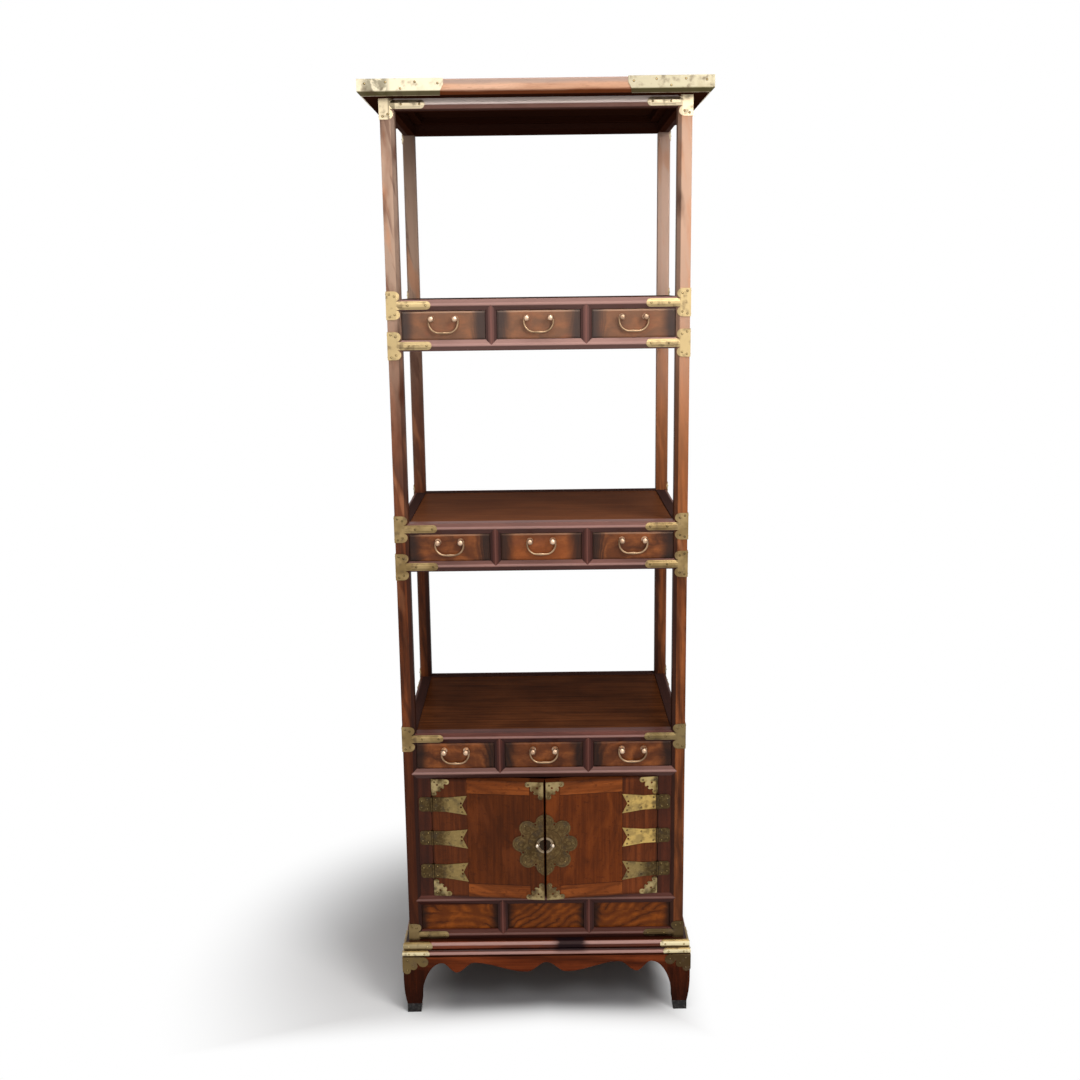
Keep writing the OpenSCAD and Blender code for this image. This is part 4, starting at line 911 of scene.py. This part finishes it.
def nail_heads(name, spots, outs, radius):
    """Domed nail heads in a ring of dirt, all in one piece.

    A point of ring i at the angle t is spot + side * reach[i] * cos(t) + up * reach[i] * sin(t)
    + out * rise[i], where out is the nail's axis, which points out of the plate, and side and up
    are at right angles to it. The first rings make a flat collar, and the others a rounded cap.
    """
    spots, outs = np.array(spots, float), np.array(outs, float)
    reach, rise = NAIL_REACH * radius, NAIL_RISE * radius
    turn = np.arange(NAIL_SIDES) * 2 * math.pi / NAIL_SIDES
    helper = np.where(np.abs(outs[:, 2:3]) > 0.9, [[0.0, 1.0, 0.0]], [[0.0, 0.0, 1.0]])
    side = np.cross(helper, outs)
    side /= np.linalg.norm(side, axis=1, keepdims=True)
    up = np.cross(outs, side)
    level = np.broadcast_to(rise[:, None], (len(rise), NAIL_SIDES))
    ring = (
        side[:, None, None, :] * (reach[:, None] * np.cos(turn))[None, :, :, None]
        + up[:, None, None, :] * (reach[:, None] * np.sin(turn))[None, :, :, None]
        + outs[:, None, None, :] * level[None, :, :, None]
    )
    heads = (spots[:, None, None, :] + ring).reshape(len(spots), -1, 3)
    tips = (spots + outs * NAIL_TIP * radius)[:, None, :]
    feet = (spots - outs * NAIL_FOOT * radius)[:, None, :]
    points = np.concatenate([heads, tips, feet], axis=1)
    last = (len(rise) - 1) * NAIL_SIDES
    tip = last + NAIL_SIDES
    faces, kinds = [], []
    for i in range(NAIL_SIDES):
        j = (i + 1) % NAIL_SIDES
        for row in range(len(rise) - 1):
            a, b = row * NAIL_SIDES, (row + 1) * NAIL_SIDES
            faces.append((a + i, a + j, b + j, b + i))
            kinds.append(1 if row < COLLAR_ROWS else 0)
        faces += [(last + i, last + j, tip), (j, i, tip + 1)]
        kinds += [0, 1]
    per = points.shape[1]
    every = [tuple(v + k * per for v in face) for k in range(len(spots)) for face in faces]
    return mesh_piece(name, points.reshape(-1, 3), every, (NAIL, DIRT), kinds * len(spots))


def corner_faces(half_w, half_d):
    """The two faces at each corner: whether it is a back face, where a nail lies, and the way out.

    Where a nail lies is a function of its distance from the corner and its height.
    """
    for sx in (-1, 1):
        for sy in (-1, 1):

            def on_face(a, z, sx=sx, sy=sy):
                return sx * (half_w - PLATE - a), sy * half_d, z

            def on_side(a, z, sx=sx, sy=sy):
                return sx * half_w, sy * (half_d - PLATE - a), z

            yield sy > 0, on_face, (0, sy, 0)
            yield False, on_side, (sx, 0, 0)


# Radii of the nails, and their places on each kind of plate: mostly the distance from the corner
# or the hinge, and the height
CARCASE_NAIL, DOOR_NAIL = 0.0015, 0.0014
MOUNT_NAILS = (
    (0.005, 0.019), (0.005, -0.019), (0.0135, 0.0155), (0.0135, -0.0155), (0.036, 0.0),
    (0.0665, 0.0),
)
PLATE_NAILS = ((0.012, 0.0185), (0.046, 0.0205), (0.07, 0.0105), (0.094, 0.0205), (0.131, 0.018))
TOP_NAILS, TOP_INSET = (0.03, 0.07, 0.11), 0.007
CLOUD_NAILS = (
    (0.041, 0.00625), (0.012, 0.00625), (0.008, -0.007), (0.038, -0.009), (0.019, -0.018),
    (0.008, -0.027),
)
BAND_NAILS, BAND_Z, BAND_INSET = (0.01, 0.045), APRON_TOP + 0.0125 + 0.008, 0.002
JAMB_NAILS = ((0.0075, 0.0095), (0.0075, -0.0095), (0.018, 0.006), (0.018, -0.006))
LEAF_NAILS = ((0.008, 0.0095), (0.031, 0.0095), (0.058, 0.0135))
CORNER_NAILS = ((0.028, 0.0055), (0.0055, 0.028), (0.006, 0.006))
LOBE_NAILS, LOBE_RADIUS = (135, 180, 225), 0.051
LOCK_NAILS = ((-0.0095, 0.049), (-0.0095, -0.049))


def carcase_nails():
    """Nails of the corner mounts, the top board's plates, the stand and the fixed hinge plates."""
    nails = []
    for rear, place, out in corner_faces(HALF_W + PLATE, HALF_D + PLATE):
        if not rear:
            for level in MOUNT_LEVELS:
                nails += [(place(a, level + RAIL / 2 + rise), out) for a, rise in MOUNT_NAILS]
    for _, place, out in corner_faces(CORNICE_W + PLATE, CORNICE_D + PLATE):
        nails += [(place(a, CORNICE_Z + rise), out) for a, rise in PLATE_NAILS]
    for sx in (-1, 1):
        for sy in (-1, 1):
            for a in TOP_NAILS:
                for in_x, in_y in ((a, TOP_INSET), (TOP_INSET, a)):
                    spot = sx * (CORNICE_W - in_x), sy * (CORNICE_D - in_y), TOP_Z + PLATE
                    nails.append((spot, (0, 0, 1)))
    for _, place, out in corner_faces(STAND_W + PLATE, STAND_D + PLATE):
        nails += [(place(a, APRON_TOP + z), out) for a, z in CLOUD_NAILS]
    for _, place, out in corner_faces(STAND_W + PLATE - BAND_INSET, STAND_D + PLATE - BAND_INSET):
        nails += [(place(a, BAND_Z), out) for a in BAND_NAILS]
    for side in (-1, 1):
        for z in HINGES:
            for a, rise in JAMB_NAILS:
                nails.append(((side * (-HINGE_X + a), HINGE_Y, z + rise), (0, -1, 0)))
    return nail_heads("carcase_nails", *zip(*nails), CARCASE_NAIL)


def door_nails(side):
    """Nails of one door's hinge plates, corner plates and lock plate, swung with the door."""
    flat = []
    for z in HINGES:
        for a, rise in LEAF_NAILS:
            flat += [(HINGE_X + a, z + rise), (HINGE_X + a, z - rise)]
    for corner, inward in ((DOOR_EDGE, 1), (DOOR_END, -1)):
        for z, up in ((DOOR_LOW, 1), (DOOR_HIGH, -1)):
            flat += [(corner + inward * a, z + up * b) for a, b in CORNER_NAILS]
    for angle in map(math.radians, LOBE_NAILS):
        flat.append((LOBE_RADIUS * math.cos(angle), LOCK_Z + LOBE_RADIUS * math.sin(angle)))
    flat += [(x, LOCK_Z + z) for x, z in LOCK_NAILS]
    flat = np.array(flat)
    turn = np.array([[math.cos(AJAR), math.sin(AJAR)], [-math.sin(AJAR), math.cos(AJAR)]])
    ground = np.column_stack([flat[:, 0] - HINGE_X, np.zeros(len(flat))]) @ turn.T
    ground = ground + (HINGE_X, HINGE_Y)
    spots = np.column_stack([-side * ground[:, 0], ground[:, 1], flat[:, 1]])
    out = np.array([0.0, -1.0]) @ turn.T
    outs = np.tile([-side * out[0], out[1], 0.0], (len(spots), 1))
    name = "door_left" if side < 0 else "door_right"
    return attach(nail_heads(f"{name}_nails", spots, outs, DOOR_NAIL), name)


for piece in (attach(carcase_nails(), "carcase"), door_nails(-1), door_nails(1)):
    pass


def soften():
    """Rounds the arrises of the wood a little, so that they catch the light."""
    starts = ("post_", "drawer_", "door_", "top_", "stand_", "front_")
    for name, piece in nodes.items():
        if "mounts" in name or not (name.startswith(starts) or name.endswith(("_rails", "_shelf"))):
            continue
        weld = piece.modifiers.new("weld", "WELD")
        weld.merge_threshold = 1e-6
        bevel = piece.modifiers.new("arris", "BEVEL")
        bevel.width = 0.0006
        bevel.segments = 2
        bevel.limit_method = "ANGLE"
        bevel.angle_limit = math.radians(35)
        bevel.harden_normals = False


soften()

# Camera at the photograph's place: its lens, where it stands, and how it is turned
camera = bpy.data.objects.new("camera", bpy.data.cameras.new("camera"))
bpy.context.scene.collection.objects.link(camera)
camera.data.lens = 40.89
camera.data.sensor_width = 36.0
camera.matrix_world = (
    Matrix.Translation((0.00042, -2.3220, 1.3623))
    @ Matrix.Rotation(math.radians(0.0745), 4, "Z")
    @ Matrix.Rotation(math.radians(-11.623), 4, "X")
    @ Matrix.Rotation(math.radians(0.7254), 4, "Y")
    @ Matrix.Rotation(math.pi / 2, 4, "X")
)
bpy.context.scene.camera = camera


def lamp(name, place, aim, size, power, colour=(1.0, 1.0, 1.0)):
    """Soft square lamp at a place, turned towards the point it is aimed at."""
    data = bpy.data.lights.new(name, "AREA")
    data.size, data.energy, data.color = size, power, colour
    made = bpy.data.objects.new(name, data)
    bpy.context.scene.collection.objects.link(made)
    made.location = place
    x, y, z = np.array(aim, float) - np.array(place, float)
    made.rotation_euler = (math.atan2(math.hypot(x, y), -z), 0.0, math.atan2(-x, y))


lamp("key_lamp", (1.4, -1.95, 2.35), (0.0, 0.0, 1.0), 1.0, 33.0, (1.0, 0.98, 0.96))
lamp("over_lamp", (0.1, -0.85, 2.95), (0.0, -0.1, 1.0), 1.2, 26.0)
lamp("front_lamp", (0.3, -2.9, 1.45), (0.0, 0.0, 1.2), 2.2, 12.0)
lamp("fill_lamp", (-2.0, -2.0, 1.9), (0.0, 0.0, 0.9), 1.4, 7.0)

# Room that lights the piece weakly and is plain white where it is seen
ROOM_LIGHT = 0.22
world = bpy.data.worlds.new("room")
bpy.context.scene.world = world
world.use_nodes = True
room = Graph(world.node_tree)
background = world.node_tree.nodes["Background"]
sockets = {"Value": room.seen(), "To Min": ROOM_LIGHT, "To Max": 1.0}
room.feed(background, "Strength", room.node("ShaderNodeMapRange", {}, sockets))
room.feed(background, "Color", (1.0, 1.0, 1.0, 1.0))


def floor():
    """Pale floor with a painted shadow under the etagere, that takes the cast shadow near it and
    fades to plain white further out.
    """
    finish = Finish("floor_pale")
    x, y = finish.x, finish.y
    # Painted shadow: the floor darker under the stand
    under = finish.span(abs(x), 0.29, 0.16) * finish.span(abs(y), 0.25, 0.15)
    finish.wood(finish.blend(under, (247, 247, 247), (150, 150, 152)), 0.7, None, SMOOTH)
    length = {"operation": "LENGTH"}
    far = finish.node("ShaderNodeVectorMath", length, (finish.place,), "Value")
    white = finish.node("ShaderNodeEmission", {}, {"Strength": 1.0})
    near = finish.span(y + abs(x) * 0.1, -0.15, -0.26).most(finish.span(x, 0.2, 0.32))
    share = finish.span(far, 0.36, 0.79).most(near) * finish.seen()
    lit = Field(finish, finish.shader.outputs[0])
    mixed = finish.node("ShaderNodeMixShader", {}, (share, lit, white))
    finish.feed(finish.tree.nodes["Material Output"], "Surface", mixed)
    points = np.array([(-30, -30, 0), (30, -30, 0), (30, 30, 0), (-30, 30, 0)], float)
    mesh_piece("floor", points, [(0, 1, 2, 3)], (finish.material,))


floor()
bpy.context.scene.view_settings.view_transform = "Standard"
